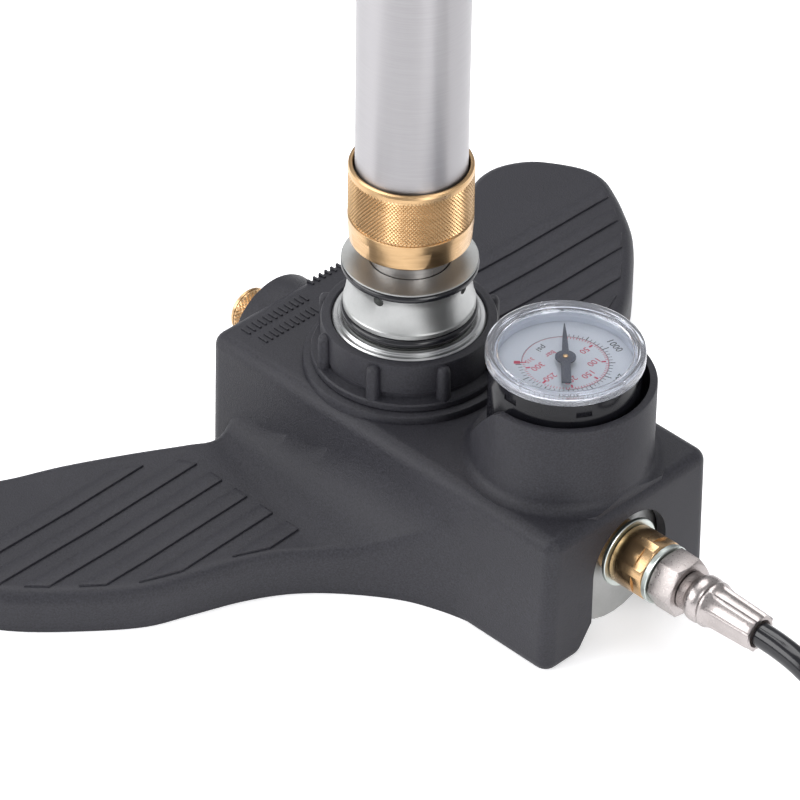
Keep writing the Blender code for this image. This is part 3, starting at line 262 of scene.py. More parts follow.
FINISHES = {
    "nylon": moulded_nylon(),
    "tube_steel": brushed_tube("polished_steel", (0.36, 0.35, 0.36), (0.40, 0.39, 0.40), 0.36),
    "steel": brushed_metal("turned_steel", (0.36, 0.34, 0.33), (0.50, 0.475, 0.46), 0.30, (0.08, 0.08, 1.0)),
    "brass": brushed_metal("turned_brass", (0.50, 0.32, 0.16), (0.64, 0.43, 0.235), 0.28, (0.10, 0.10, 1.0)),
    "aluminium": cast_metal("blasted_aluminium", (0.40, 0.405, 0.40), (0.48, 0.485, 0.48), 0.42),
    "bright_aluminium": brushed_metal("turned_aluminium", (0.48, 0.485, 0.485), (0.60, 0.605, 0.605), 0.28,
                                      (0.08, 0.08, 1.0)),
    "nickel": cast_metal("dull_nickel", (0.36, 0.325, 0.315), (0.50, 0.46, 0.45), 0.30),
    "zinc": cast_metal("plated_zinc", (0.50, 0.55, 0.52), (0.66, 0.70, 0.67), 0.34),
    "bronze": cast_metal("bearing_bronze", (0.36, 0.22, 0.10), (0.52, 0.33, 0.15), 0.4),
    "rubber": smooth_plastic("seal_rubber", (0.008, 0.008, 0.010), (0.016, 0.016, 0.020), 0.22),
    "grip_rubber": smooth_plastic("grip_rubber", (0.012, 0.012, 0.014), (0.024, 0.024, 0.027), 0.55,
                                  1600, 0.00012),
    "gloss_black": smooth_plastic("gloss_black_plastic", (0.006, 0.006, 0.008), (0.011, 0.011, 0.014), 0.16,
                                  Specular_IOR_Level=0.28),
    "hose_black": smooth_plastic("hose_cover", (0.006, 0.006, 0.008), (0.012, 0.012, 0.015), 0.14,
                                 400, 0.00003),
    "dial": smooth_plastic("dial_card", (0.64, 0.67, 0.72), (0.68, 0.71, 0.76), 0.5),
    "pale_ring": smooth_plastic("pale_ring_plastic", (0.66, 0.70, 0.78), (0.74, 0.78, 0.86), 0.3),
    "black_ink": smooth_plastic("black_ink", (0.020, 0.021, 0.028), (0.040, 0.041, 0.050), 0.6),
    "red_ink": smooth_plastic("red_ink", (0.56, 0.022, 0.075), (0.66, 0.035, 0.095), 0.6),
    "pointer": smooth_plastic("pointer_paint", (0.030, 0.036, 0.060), (0.050, 0.058, 0.090), 0.4),
    "clear": clear_plastic(),
    "milky": smooth_plastic("milky_clear", (0.78, 0.80, 0.86), (0.84, 0.86, 0.92), 0.08, 300, 0.00001,
                            Transmission_Weight=0.88, IOR=1.46),
}

# The CAD nodes that stay as they are, and the finish each one gets.
KEPT_NODES = {
    "manifold_block": "aluminium", "pressure_tube": "steel", "piston_head": "brass", "piston_seal": "rubber",
    "pressure_rod": "steel", "rod_seal": "rubber", "guide_bush": "bronze", "wiper_seal": "rubber",
    "check_valve_ball": "steel", "check_valve_spring": "steel", "gauge_stem": "brass",
    "gauge_movement": "brass",
    "bourdon_tube": "bronze", "coupler_spring": "steel", "bleed_spindle": "steel", "bleed_bush": "brass",
}


# ---- modelling helpers --------------------------------------------------------------------------------
def deselect():
    if bpy.context.object and bpy.context.object.mode != "OBJECT":
        bpy.ops.object.mode_set(mode="OBJECT")
    bpy.ops.object.select_all(action="DESELECT")


def pick(piece):
    deselect()
    piece.select_set(True)
    bpy.context.view_layer.objects.active = piece


def edit(piece):
    pick(piece)
    bpy.ops.object.mode_set(mode="EDIT")
    bpy.ops.mesh.select_all(action="SELECT")


def done():
    bpy.ops.object.mode_set(mode="OBJECT")


def edit_where(piece, wanted):
    """Opens the piece for editing with only the vertices that are wanted selected."""
    edit(piece)
    bpy.ops.mesh.select_all(action="DESELECT")
    done()
    for vert in piece.data.vertices:
        vert.select = wanted(vert.co)
    bpy.ops.object.mode_set(mode="EDIT")


def settle(piece):
    """Puts the piece's place, turn and size into its mesh."""
    pick(piece)
    bpy.ops.object.transform_apply(location=True, rotation=True, scale=True)
    return piece


def turned(name, profile, sides=ROUND):
    """Turns a piece about Z: a circle is drawn up and opened or closed at each (radius, height) of the profile.
    A profile that starts and ends on the axis is capped, and any other one closes on itself."""
    capped = profile[0][0] == 0
    rings = [point for point in profile if point[0] > 0]
    radius, height = rings[0]
    deselect()
    bpy.ops.mesh.primitive_circle_add(vertices=sides, radius=radius, location=(0, 0, height))
    piece = bpy.context.object
    piece.name = name
    edit(piece)
    for new_radius, new_height in rings[1:]:
        bpy.ops.mesh.extrude_region_move(TRANSFORM_OT_translate={"value": (0, 0, new_height - height)})
        share = new_radius / radius
        bpy.ops.transform.resize(value=(share, share, 1), center_override=(0, 0, new_height))
        radius, height = new_radius, new_height
    bpy.ops.mesh.select_mode(type="EDGE")
    bpy.ops.mesh.select_all(action="DESELECT")
    bpy.ops.mesh.select_non_manifold()
    if capped:
        bpy.ops.mesh.fill_holes(sides=0)
    else:
        bpy.ops.mesh.bridge_edge_loops()
    bpy.ops.mesh.select_mode(type="VERT")
    bpy.ops.mesh.select_all(action="SELECT")
    bpy.ops.mesh.normals_make_consistent(inside=False)
    done()
    return settle(piece)


def placed(piece, matrix):
    piece.matrix_world = matrix
    return settle(piece)


def along_x(x, y, z):
    return Matrix.Translation((x, y, z)) @ Matrix.Rotation(math.pi / 2, 4, "Y")


def along_minus_x(x, y, z):
    return Matrix.Translation((x, y, z)) @ Matrix.Rotation(-math.pi / 2, 4, "Y")


def along_y(x, y, z):
    return Matrix.Translation((x, y, z)) @ Matrix.Rotation(-math.pi / 2, 4, "X")


def about_z(angle):
    return Matrix.Rotation(angle, 4, "Z")


def block(name, low, high):
    """A box from its two corners."""
    deselect()
    low, high = Vector(low), Vector(high)
    bpy.ops.mesh.primitive_cube_add(size=1, location=(low + high) / 2)
    piece = bpy.context.object
    piece.name = name
    piece.scale = high - low
    return settle(piece)


def soften(piece, width, segments=2, angle=30):
    """Rounds the edges that are sharper than the angle."""
    pick(piece)
    modifier = piece.modifiers.new("soften", "BEVEL")
    modifier.width = width
    modifier.segments = segments
    modifier.limit_method = "ANGLE"
    modifier.angle_limit = math.radians(angle)
    bpy.ops.object.modifier_apply(modifier=modifier.name)
    return piece


def combine(piece, tool, operation="DIFFERENCE"):
    """Cuts the tool from the piece, or joins it on, and takes the tool away."""
    pick(piece)
    modifier = piece.modifiers.new("combine", "BOOLEAN")
    modifier.operation = operation
    modifier.object = tool
    modifier.solver = "MANIFOLD"
    bpy.ops.object.modifier_apply(modifier=modifier.name)
    bpy.data.objects.remove(tool)
    return piece


def copied(piece, matrix):
    """A copy with its own mesh, moved by the matrix."""
    copy = piece.copy()
    copy.data = piece.data.copy()
    bpy.context.scene.collection.objects.link(copy)
    return placed(copy, matrix)


def gathered(name, pieces):
    """Several shells as one object."""
    deselect()
    for piece in pieces:
        piece.select_set(True)
    bpy.context.view_layer.objects.active = pieces[0]
    if len(pieces) > 1:
        bpy.ops.object.join()
    result = bpy.context.object
    result.name = name
    return result


def round_about(piece, count):
    """The piece and its copies, turned evenly about Z."""
    return [piece] + [copied(piece, about_z(FULL_TURN / count * k)) for k in range(1, count)]


def cut_about(piece, low, high, angles):
    """Cuts the same box from the piece at each angle about Z, in degrees."""
    for angle in angles:
        combine(piece, placed(block("cutter", low, high), about_z(math.radians(angle))))


def from_bmesh(name, bm):
    bmesh.ops.remove_doubles(bm, verts=bm.verts, dist=1e-6)
    bmesh.ops.recalc_face_normals(bm, faces=bm.faces)
    mesh = bpy.data.meshes.new(name)
    bm.to_mesh(mesh)
    bm.free()
    piece = bpy.data.objects.new(name, mesh)
    bpy.context.scene.collection.objects.link(piece)
    return piece


def drawn_out(name, outline, move):
    """A solid from a flat outline that is drawn out by move."""
    bm = bmesh.new()
    face = bm.faces.new([bm.verts.new(point) for point in outline])
    moved = bmesh.ops.extrude_face_region(bm, geom=[face])["geom"]
    bmesh.ops.translate(bm, verts=[v for v in moved if isinstance(v, bmesh.types.BMVert)], vec=move)
    return from_bmesh(name, bm)


def finished(piece, finish, body, *nodes, name=None, angle=35):
    """Gives the piece its material, shading and body, and hides the CAD nodes that it stands for."""
    pick(piece)
    bpy.ops.object.shade_smooth_by_angle(angle=math.radians(angle))
    piece.data.materials.clear()
    piece.data.materials.append(FINISHES[finish])
    if name:
        piece.name = name
    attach(piece, body)
    if nodes:
        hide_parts(*nodes)
    return piece


def knurled(name, radius, low, high, starts, rows, depth):
    """A band of diamond knurling: crossing grooves that leave a small pyramid between each four crossings."""
    sides = 2 * starts
    steps = 2 * rows
    rise = (high - low) / steps
    profile = [(radius - depth, low + rise * k) for k in range(steps + 1)]
    inner = radius - 2.2 * depth
    piece = turned(name, [(inner, low)] + profile + [(inner, high)], sides)

    def peak(co):
        column = round(math.atan2(co.y, co.x) * sides / FULL_TURN)
        row = round((co.z - low) / rise)
        return 0 < row < steps and math.hypot(co.x, co.y) > inner + depth / 2 and (column + row) % 2 == 0

    edit_where(piece, peak)
    share = radius / (radius - depth)
    bpy.ops.transform.resize(value=(share, share, 1), center_override=(0, 0, 0))
    bpy.ops.mesh.select_all(action="SELECT")
    bpy.ops.mesh.quads_convert_to_tris(quad_method="SHORTEST_DIAGONAL")
    done()
    return piece


def smooth_route(route, count):
    """count points on a smooth curve through the route's points, evenly spread along its length."""
    fine = 24
    points = [Vector(p) for p in route]
    ends = [2 * points[0] - points[1]] + points + [2 * points[-1] - points[-2]]
    dense = []
    for i in range(1, len(ends) - 2):
        p0, p1, p2, p3 = ends[i - 1:i + 3]
        for k in range(fine):
            t = k / fine
            dense.append(0.5 * (2 * p1 + (p2 - p0) * t + (2 * p0 - 5 * p1 + 4 * p2 - p3) * t * t
                                + (3 * p1 - p0 - 3 * p2 + p3) * t ** 3))
    dense.append(points[-1])
    run = [0.0]
    for a, b in zip(dense, dense[1:]):
        run.append(run[-1] + (b - a).length)
    result = []
    k = 0
    for i in range(count):
        wanted = run[-1] * i / (count - 1)
        while k < len(run) - 2 and run[k + 1] < wanted:
            k += 1
        share = (wanted - run[k]) / (run[k + 1] - run[k])
        result.append(dense[k].lerp(dense[k + 1], share))
    return result


# ---- hose ---------------------------------------------------------------------------------------------
HOSE_EXIT = Vector((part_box("hose_ferrule")[1].x + GAP, 0.0, OUTLET_Z))
COIL_LOW, COIL_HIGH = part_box("hose_coil")
HOSE_SAG = [(0, 0, 0), (8, 0, -0.3), (18, 0, -2.0), (30, 0, -6.8), (42, 0, -13.6), (54, 0, -20.2), (64, 0, -24.2),
            (75, 0, -26.1)]
COIL_MIDDLE = Vector(((COIL_LOW.x + COIL_HIGH.x) / 2, (COIL_LOW.y + COIL_HIGH.y) / 2, HOSE_R + 0.1 * MM))
COIL_R = 47.0 * MM
COIL_TURNS = 1.5
PER_TURN = 36
HOSE_TAIL = [(0, 0, 0), (-12, 0, -0.4), (-26, 0, -2.2), (-38, 0, -3.1)]


def hose_points():
    """Sag to the floor, one and a half turns of the coil, and the tail that comes down to the coupler."""
    sag = [HOSE_EXIT + Vector(p) * MM for p in HOSE_SAG]
    points = smooth_route(sag, 24)
    lead = COIL_MIDDLE + Vector((0, -COIL_R, 0))
    points += [sag[-1].lerp(lead, share) for share in (0.33, 0.67)]
    for k in range(int(PER_TURN * COIL_TURNS) + 1):
        turn = k / PER_TURN
        rise = min(max((turn - 0.55) / 0.45, 0.0), 1.0)
        rise = rise * rise * (3 - 2 * rise) * 2 * HOSE_R
        angle = -math.pi / 2 + FULL_TURN * turn
        points.append(COIL_MIDDLE + Vector((COIL_R * math.cos(angle), COIL_R * math.sin(angle), rise)))
    leaving = Vector((sag[-1].x, 2 * COIL_R, COIL_MIDDLE.z + 2 * HOSE_R))
    points.append(points[-1].lerp(leaving, 0.5))
    points += smooth_route([leaving + Vector(p) * MM for p in HOSE_TAIL], 12)
    return points


def hose(coupler_pieces):
    points = hose_points()
    data = bpy.data.curves.new("pressure_hose", "CURVE")
    data.dimensions = "3D"
    data.bevel_depth = HOSE_R
    data.bevel_resolution = 8
    data.use_fill_caps = True
    spline = data.splines.new("POLY")
    spline.points.add(len(points) - 1)
    for slot, point in zip(spline.points, points):
        slot.co = (*point, 1)
    data.materials.append(FINISHES["hose_black"])
    line = bpy.data.objects.new("pressure_hose", data)
    bpy.context.scene.collection.objects.link(line)
    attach(line, "base")
    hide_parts("hose", "hose_coil", "hose_tail")
    return line


# ---- foot plate ---------------------------------------------------------------------------------------
# Half outline of one wing on the floor: x in millimetres, y as a share of the way from the block to the tip.
WING_OUTLINE = [(90, -0.10), (76, -0.02), (58, 0.02), (44, 0.065), (28, 0.155), (16, 0.25), (7.5, 0.36),
                (0.5, 0.495), (-6, 0.615), (-20, 0.75), (-34, 0.86), (-47, 0.93), (-56, 0.97), (-65, 1.0),
                (-74, 1.0), (-84, 0.965), (-94, 0.905), (-99.5, 0.82), (-99, 0.735), (-93.5, 0.66),
                (-86.5, 0.57),
                (-77.5, 0.42), (-66, 0.265), (-55, 0.13), (-50, 0.06), (-49, -0.10)]
WING_SPINE = [(20, -0.12), (0, 0.10), (-24, 0.36), (-48, 0.60), (-64, 0.80)]
BELOW = 2 * MM
RIB_START = -73.2 * MM
RIB_PITCH = 12.6 * MM
RIB_WIDTH = 6.2 * MM
RIB_HIGH = 0.9 * MM


def wing_point(point):
    reach = WING_REACH - BLOCK_HALF_WIDTH
    return Vector((point[0] * MM, BLOCK_HALF_WIDTH + point[1] * reach, 0))


def wing_height(x, y):
    """Top of a wing: nearly level, rising in a hollow curve to the block's side."""
    beyond = max(y - BLOCK_HALF_WIDTH, 0.0)
    along = min(max((x - BLOCK_BACK) / (80 * MM), 0.0), 1.0)
    sweep = (6 + 22 * along) * MM
    near = max(sweep - beyond, 0.0)
    rise = sweep - math.sqrt(max(sweep ** 2 - near ** 2, 0.0))
    slope = 2.5 * MM * max(1 - beyond / (70 * MM), 0.0)
    return min(WING_HEIGHT + slope + rise, CAVITY_TOP)


def wing(name, side, spans=64, rows=22):
    """One wing as a closed solid, its surface running from the outline to the spine in rows."""
    floor = -1.5 * BELOW
    tip_steps = spans // 2
    front_end, back_start = 0.50, 0.62
    shares = [front_end * j / spans for j in range(spans + 1)]
    shares += [front_end + (back_start - front_end) * k / tip_steps for k in range(1, tip_steps)]
    shares += [back_start + (1 - back_start) * j / spans for j in range(spans + 1)]
    targets = list(range(spans + 1)) + [spans] * (tip_steps - 1) + list(range(spans, -1, -1))
    fine, crowding = 1600, 1.9
    outline = smooth_route([wing_point(p) for p in WING_OUTLINE], fine + 1)
    middles = smooth_route([wing_point(p) for p in WING_SPINE], spans + 1)
    bm = bmesh.new()

    def vertex(point, z):
        return bm.verts.new((point.x, side * point.y, z))

    spine = [vertex(p, wing_height(p.x, p.y)) for p in middles]
    columns = []
    for share, target in zip(shares, targets):
        outer = outline[int(round(share * fine))]
        inward = middles[target] - outer
        column = [vertex(outer, floor)]
        for row in range(rows):
            along = (row / rows) ** crowding
            point = outer + inward * along
            lack = max(WING_EDGE_ROUND - inward.length * along, 0.0)
            edge_drop = WING_EDGE_ROUND - math.sqrt(WING_EDGE_ROUND ** 2 - lack ** 2)
            column.append(vertex(point, wing_height(point.x, point.y) - edge_drop))
        columns.append(column + [spine[target]])
    for a, b in zip(columns, columns[1:]):
        for k in range(rows):
            bm.faces.new((a[k], a[k + 1], b[k + 1], b[k]))
        bm.faces.new(list(dict.fromkeys((a[rows], a[rows + 1], b[rows + 1], b[rows]))))
    bm.faces.new([column[0] for column in columns])
    bm.faces.new(columns[0] + columns[-1][-2::-1])
    bmesh.ops.triangulate(bm, faces=[face for face in bm.faces if len(face.verts) > 4])
    return from_bmesh(name, bm)


def outline_crossings(x, margin_front, margin_back):
    """Where a line along Y at x enters and leaves the wing's top, a margin inside its outline."""
    outline = smooth_route([wing_point(p) for p in WING_OUTLINE], 500)
    tip = max(range(500), key=lambda k: outline[k].y)
    found = []
    for part, margin in ((outline[tip:], margin_back), (outline[:tip + 1], margin_front)):
        best = None
        for a, b in zip(part, part[1:]):
            along = (b - a).normalized()
            inward = Vector((along.y, -along.x, 0)) * -1
            a, b = a + inward * margin, b + inward * margin
            if (a.x - x) * (b.x - x) <= 0 and a.x != b.x:
                y = a.lerp(b, (x - a.x) / (b.x - a.x)).y
                best = y if best is None else (max(best, y) if margin == margin_back else min(best, y))
        found.append(best)
    return found


def rib(name, side, low_x, high_x, steps=36):
    """A raised tread rib along Y, whose ends follow the wing's outline."""
    limit = BLOCK_HALF_WIDTH + 22.4 * MM
    ends = []
    for x in (low_x, high_x):
        inner, outer = outline_crossings(x, 4.5 * MM, 10.5 * MM)
        inner = max(inner if inner is not None else limit, limit)
        if outer is None or outer - inner < 8 * MM:
            return None
        ends.append((inner, outer))
    bm = bmesh.new()
    rows = []
    for k in range(steps + 1):
        row = []
        for x, (inner, outer) in zip((low_x, high_x), ends):
            y = inner + (outer - inner) * k / steps
            top = wing_height(x, y) + RIB_HIGH
            row.append((bm.verts.new((x, side * y, WING_HEIGHT - 6 * MM)), bm.verts.new((x, side * y, top))))
        rows.append(row)
    for a, b in zip(rows, rows[1:]):
        (a_low, a_top), (a_low2, a_top2) = a
        (b_low, b_top), (b_low2, b_top2) = b
        for face in ((a_low, a_top, b_top, b_low), (a_top, a_top2, b_top2, b_top),
                     (a_top2, a_low2, b_low2, b_top2), (a_low2, a_low, b_low, b_low2)):
            bm.faces.new(face)
    for row in (rows[0], rows[-1]):
        (low, top), (low2, top2) = row
        bm.faces.new((low, top, top2, low2))
    return soften(from_bmesh(name, bm), 0.4 * MM, 2, 50)


def block_solid(name, inset, top, rounding):
    """The block's outer shape, or its cavity where inset is a wall's thickness."""
    low = -2.5 * BELOW if inset else -BELOW
    half = BLOCK_HALF_WIDTH - inset
    piece = block(name, (BLOCK_BACK + inset, -half, low), (BLOCK_FRONT - inset, half, top))
    edit_where(piece, lambda co: co.z < 0)
    bpy.ops.transform.resize(value=(1, (half + FOOT_DRAFT) / half, 1), center_override=(0, 0, 0))
    bpy.ops.mesh.select_all(action="DESELECT")
    done()
    for edge in piece.data.edges:
        edge.select = max(piece.data.vertices[v].co.z for v in edge.vertices) > top - 1e-5
    bpy.ops.object.mode_set(mode="EDIT")
    bpy.ops.mesh.select_mode(type="EDGE")
    bpy.ops.mesh.bevel(offset=rounding, segments=8, profile=0.5, affect="EDGES")
    done()
    return piece


def arch_cutter():
    """Round-topped opening in the front wall, flaring out at the floor."""
    half, spring, foot = 17.7 * MM, 28.8 * MM, 10.4 * MM
    flare, under = 29.6 * MM, -7 * MM
    steps = 40
    outline = [(-flare, under), (-half, foot)]
    outline += [(-half * math.cos(math.pi * i / steps), spring + half * math.sin(math.pi * i / steps))
                for i in range(steps + 1)]
    outline += [(half, foot), (flare, under)]
    back = BLOCK_FRONT - WALL - 2 * MM
    return drawn_out("cut_arch", [(back, y, z) for y, z in outline], (WALL + 6 * MM, 0, 0))


def turret():
    """The gauge's open cup: a wall with a fillet at its foot, cut away on the side of the pump tube."""
    foot = BLOCK_HEIGHT - 3 * MM
    round_r, steps = 4 * MM, 6
    fillet = [(TURRET_R + round_r * (1 - math.sin(math.pi / 2 * k / steps)),
               BLOCK_HEIGHT + round_r * (1 - math.cos(math.pi / 2 * k / steps))) for k in range(steps + 1)]
    lip = 0.8 * MM
    cup = turned("turret", [(0, foot), (TURRET_R + round_r, foot)] + fillet
                 + [(TURRET_R, TURRET_TOP - lip), (TURRET_R - 0.3 * lip, TURRET_TOP - 0.3 * lip),
                    (TURRET_R - lip, TURRET_TOP), (0, TURRET_TOP)])
    placed(cup, GAUGE_PLACE)
    face = GAUGE_X + TURRET_R + 0.2 * MM
    return combine(cup, block("cut_turret_face", (face, -BLOCK_HALF_WIDTH, foot - 1 * MM),
                              (face + 10 * MM, BLOCK_HALF_WIDTH, BLOCK_HEIGHT + 6 * MM)))


# The slope of the turret's open side: millimetres from its axis along X, and below or above its rim.
TURRET_SLOPE = [(-24.3, -28.0), (-16.0, -17.0), (-10.0, -9.0), (-6.0, -4.4), (-3.5, -1.7), (-0.5, 0.2)]


def turret_gap():
    """Takes the gauge turret's wall away on the side that faces the pump tube, up a slope."""
    back = GAUGE_X - TURRET_R - 6 * MM
    half = TURRET_R + 6 * MM
    over = TURRET_TOP + 8 * MM
    outline = [(GAUGE_X + x * MM, TURRET_TOP + z * MM) for x, z in TURRET_SLOPE]
    outline = [(back, outline[0][1])] + outline + [(outline[-1][0], over), (back, over)]
    return drawn_out("cut_turret_gap", [(x, -half, z) for x, z in outline], (0, 2 * half, 0))


def raised_dashes():
    """Rows of short moulded bars on the block's top, behind the nut."""
    bars = []
    half, sunk, raised = 0.45 * MM, 1.0 * MM, 0.6 * MM
    for x, low_y, high_y, count, length in ((-50.6, -29.0, -1.0, 12, 4.4), (-43.0, -28.0, -3.0, 11, 4.4),
                                            (-55.6, 7.0, 21.0, 6, 3.2)):
        for k in range(count):
            y = (low_y + (high_y - low_y) * k / (count - 1)) * MM
            bar = block("dash", ((x - length / 2) * MM, y - half, BLOCK_HEIGHT - sunk),
                        ((x + length / 2) * MM, y + half, BLOCK_HEIGHT + raised))
            bars.append(soften(bar, 0.15 * MM, 1))
    return gathered("raised_dashes", bars)


def foot_plate():
    shell = block_solid("foot_plate", 0.0, BLOCK_HEIGHT, EDGE_ROUND)
    for side in (1, -1):
        combine(shell, wing("wing", side), "UNION")
    lip = 1.0 * MM
    boss = turned("nut_boss", [
        (0, NUT_BOSS_FOOT), (NUT_BOSS_R, NUT_BOSS_FOOT), (NUT_BOSS_R, NUT_BOSS_Z - lip),
        (NUT_BOSS_R - 0.3 * lip, NUT_BOSS_Z - 0.3 * lip), (NUT_BOSS_R - lip, NUT_BOSS_Z), (0, NUT_BOSS_Z)])
    combine(shell, boss, "UNION")
    combine(shell, turret(), "UNION")
    bleed = turned("bleed_boss", [(0, 0), (19.2 * MM, 0), (19.8 * MM, 0.3 * MM), (20 * MM, 0.9 * MM),
                                  (20 * MM, 20 * MM), (0, 20 * MM)])
    combine(shell, placed(bleed, along_x(BLEED_BOSS_END, 0, BLEED_Z)), "UNION")
    combine(shell, block_solid("cavity", WALL, CAVITY_TOP, 2 * MM))
    socket_r, over_boss = SOCKET_HIGH.x + GAP, NUT_BOSS_Z + 5 * MM
    combine(shell, turned("cut_socket", [(0, POCKET_FOOT), (socket_r, POCKET_FOOT), (socket_r, over_boss),
                                         (0, over_boss)]))
    stem_r, cup_floor, over_turret = 8 * MM, BLOCK_HEIGHT + 1 * MM, TURRET_TOP + 5 * MM
    bore = turned("cut_turret", [(0, POCKET_FOOT), (stem_r, POCKET_FOOT), (stem_r, cup_floor),
                                 (TURRET_BORE_R, cup_floor), (TURRET_BORE_R, over_turret), (0, over_turret)])
    combine(shell, placed(bore, GAUGE_PLACE))
    hole = turned("cut_bleed", [(0, 0), (9 * MM, 0), (9 * MM, 25 * MM), (0, 25 * MM)], SMALL_ROUND)
    combine(shell, placed(hole, along_x(BLEED_BOSS_END - 2 * MM, 0, BLEED_Z)))
    combine(shell, turret_gap())
    combine(shell, arch_cutter())
    for side in (1, -1):
        for k in range(-1, 9):
            low = RIB_START + RIB_PITCH * k
            strip = rib("rib", side, low, low + RIB_WIDTH)
            if strip:
                combine(shell, strip, "UNION")
    combine(shell, block("cut_floor", (-0.3, -0.3, -0.05), (0.3, 0.3, 0)))
    finished(shell, "nylon", "base", "base_shell", angle=32)
    dashes = finished(raised_dashes(), "nylon", "base")


# ---- nut, seat and gland ------------------------------------------------------------------------------
def ring_nut():
    """Hand nut: a turned ring over an undercut flange, with eight round-topped finger lugs."""
    bore = SOCKET_HIGH.x + GAP
    low, top = NUT_LOW.z, NUT_HIGH.z
    radius, flange = 30.4 * MM, 33.7 * MM
    body = turned("ring_nut_body", [
        (bore, low), (flange - 0.3 * MM, low), (flange, low + 0.3 * MM), (flange, low + 2.1 * MM),
        (flange - 0.5 * MM, low + 2.7 * MM), (radius + 0.6 * MM, low + 2.9 * MM),
        (radius - 0.5 * MM, low + 3.3 * MM),
        (radius - 0.5 * MM, low + 4.4 * MM), (radius, low + 5.0 * MM), (radius, top - 1.2 * MM),
        (radius - 0.35 * MM, top - 0.35 * MM), (radius - 1.2 * MM, top), (bore + 0.5 * MM, top),
        (bore, top - 0.5 * MM)])
    lug_top = top - 0.9 * MM
    lug = turned("lug", [(0, low + 2.2 * MM), (2.55 * MM, low + 2.2 * MM), (2.3 * MM, lug_top - 1.7 * MM),
                         (1.95 * MM, lug_top - 0.75 * MM), (1.2 * MM, lug_top - 0.15 * MM),
                         (0.4 * MM, lug_top),
                         (0, lug_top)], 28)
    placed(lug, Matrix.Translation((flange - 2.7 * MM, 0, 0)))
    placed(lug, about_z(math.radians(22.2)))
    nut = gathered("ring_nut_lugs", [body] + round_about(lug, 8))
    finished(nut, "nylon", "nut", "ring_nut", name="finger_nut")


def seat():
    top = SOCKET_HIGH.z - 1.0 * MM
    outer = SOCKET_HIGH.x
    low = SOCKET_LOW.z
    piece = turned("valve_seat", [
        (VALVE_BORE_R, low), (18 * MM, low), (18 * MM, low + 8 * MM), (outer, low + 8 * MM),
        (outer, top - 0.5 * MM),
        (outer - 0.5 * MM, top), (24.7 * MM, top), (24.4 * MM, top + 0.3 * MM), (24.4 * MM, top + 0.7 * MM),
        (24.1 * MM, top + 1.0 * MM), (22.7 * MM, top + 1.0 * MM), (22.0 * MM, top + 0.5 * MM),
        (21.3 * MM, top),
        (21.3 * MM, SEAT_STEP), (SPIGOT_R + GAP, SEAT_STEP), (SPIGOT_R + GAP, SEAT_FLOOR),
        (VALVE_BORE_R, SEAT_FLOOR)])
    finished(piece, "bright_aluminium", "base", "seat_socket")


def gland():
    """Bottom gland: two O-ring grooves with a hollow waist between them and four oil ports."""
    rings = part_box("gland_oring_lower"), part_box("gland_oring_upper")
    low, high = ((ring_low.z + ring_high.z) / 2 for ring_low, ring_high in rings)
    half = 1.8 * MM
    flange, land, groove, waist = GLAND_HIGH.x, GLAND_HIGH.x - 0.6 * MM, 20.3 * MM, 21.0 * MM
    top, foot = GLAND_HIGH.z, SOCKET_HIGH.z + GAP
    waist_low, waist_high = low + half + 1.6 * MM, high - half - 3.8 * MM
    tube_end, rod_end = INNER_LOW.z - GAP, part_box("pressure_tube")[0].z - GAP
    piece = turned("gland", [
        (VALVE_BORE_R, SEAT_FLOOR + GAP), (SPIGOT_R, SEAT_FLOOR + GAP), (SPIGOT_R, SEAT_STEP + GAP),
        (waist, SEAT_STEP + GAP), (waist, foot),
        (flange - 0.9 * MM, foot), (land, low - half), (groove, low - half), (groove, low + half),
        (land - 0.2 * MM, low + half), (land, low + half + 0.2 * MM), (land, waist_low),
        (waist + 1.6 * MM, waist_low + 0.2 * MM), (waist + 1.3 * MM, waist_low + 0.7 * MM),
        (waist, waist_high),
        (waist + 0.1 * MM, high - half - 1.4 * MM), (waist + 0.4 * MM, high - half - 0.6 * MM),
        (waist + 0.4 * MM, high - half), (groove, high - half), (groove, high + half), (flange, high + half),
        (flange, top - 0.2 * MM), (flange - 0.25 * MM, top), (14.3 * MM, top), (14.3 * MM, tube_end),
        (8.1 * MM, tube_end), (8.1 * MM, rod_end), (VALVE_BORE_R, rod_end)])
    for angle in (-75, 15, 105, 195):
        port = turned("port", [(0, 0), (1.9 * MM, 0), (1.9 * MM, 6 * MM), (0, 6 * MM)], 32)
        combine(piece, placed(port, about_z(math.radians(angle)) @ along_x(18 * MM, 0, high - half - 2.1 * MM)))
    finished(piece, "aluminium", "base", "gland_body")
    for node in ("gland_oring_lower", "gland_oring_upper"):
        seal = o_ring(node + "_seal", node)
        finished(seal, "rubber", "base", node)


def o_ring(name, node):
    """A rubber ring the size of its node: a round section spun about Z."""
    low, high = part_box(node)
    wire = 1.5 * MM
    middle = high.x - wire
    deselect()
    bpy.ops.mesh.primitive_circle_add(vertices=20, radius=wire, location=(middle, 0, (low.z + high.z) / 2),
                                      rotation=(math.pi / 2, 0, 0))
    ring = settle(bpy.context.object)
    ring.name = name
    edit(ring)
    bpy.ops.mesh.spin(steps=ROUND, angle=FULL_TURN, center=(0, 0, 0), axis=(0, 0, 1), use_normal_flip=False)
    bpy.ops.mesh.select_all(action="SELECT")
    bpy.ops.mesh.remove_doubles(threshold=1e-6)
    bpy.ops.mesh.normals_make_consistent(inside=False)
    done()
    return ring


# ---- tubes, collar and handle -------------------------------------------------------------------------
def inner_tube():
    bore, outer = 11.5 * MM, INNER_HIGH.x
    piece = turned("middle_tube", [(bore, INNER_LOW.z), (outer, INNER_LOW.z), (outer, INNER_HIGH.z - 0.5 * MM),
                                   (outer - 0.5 * MM, INNER_HIGH.z), (bore, INNER_HIGH.z)])
    finished(piece, "steel", "base", "inner_tube")


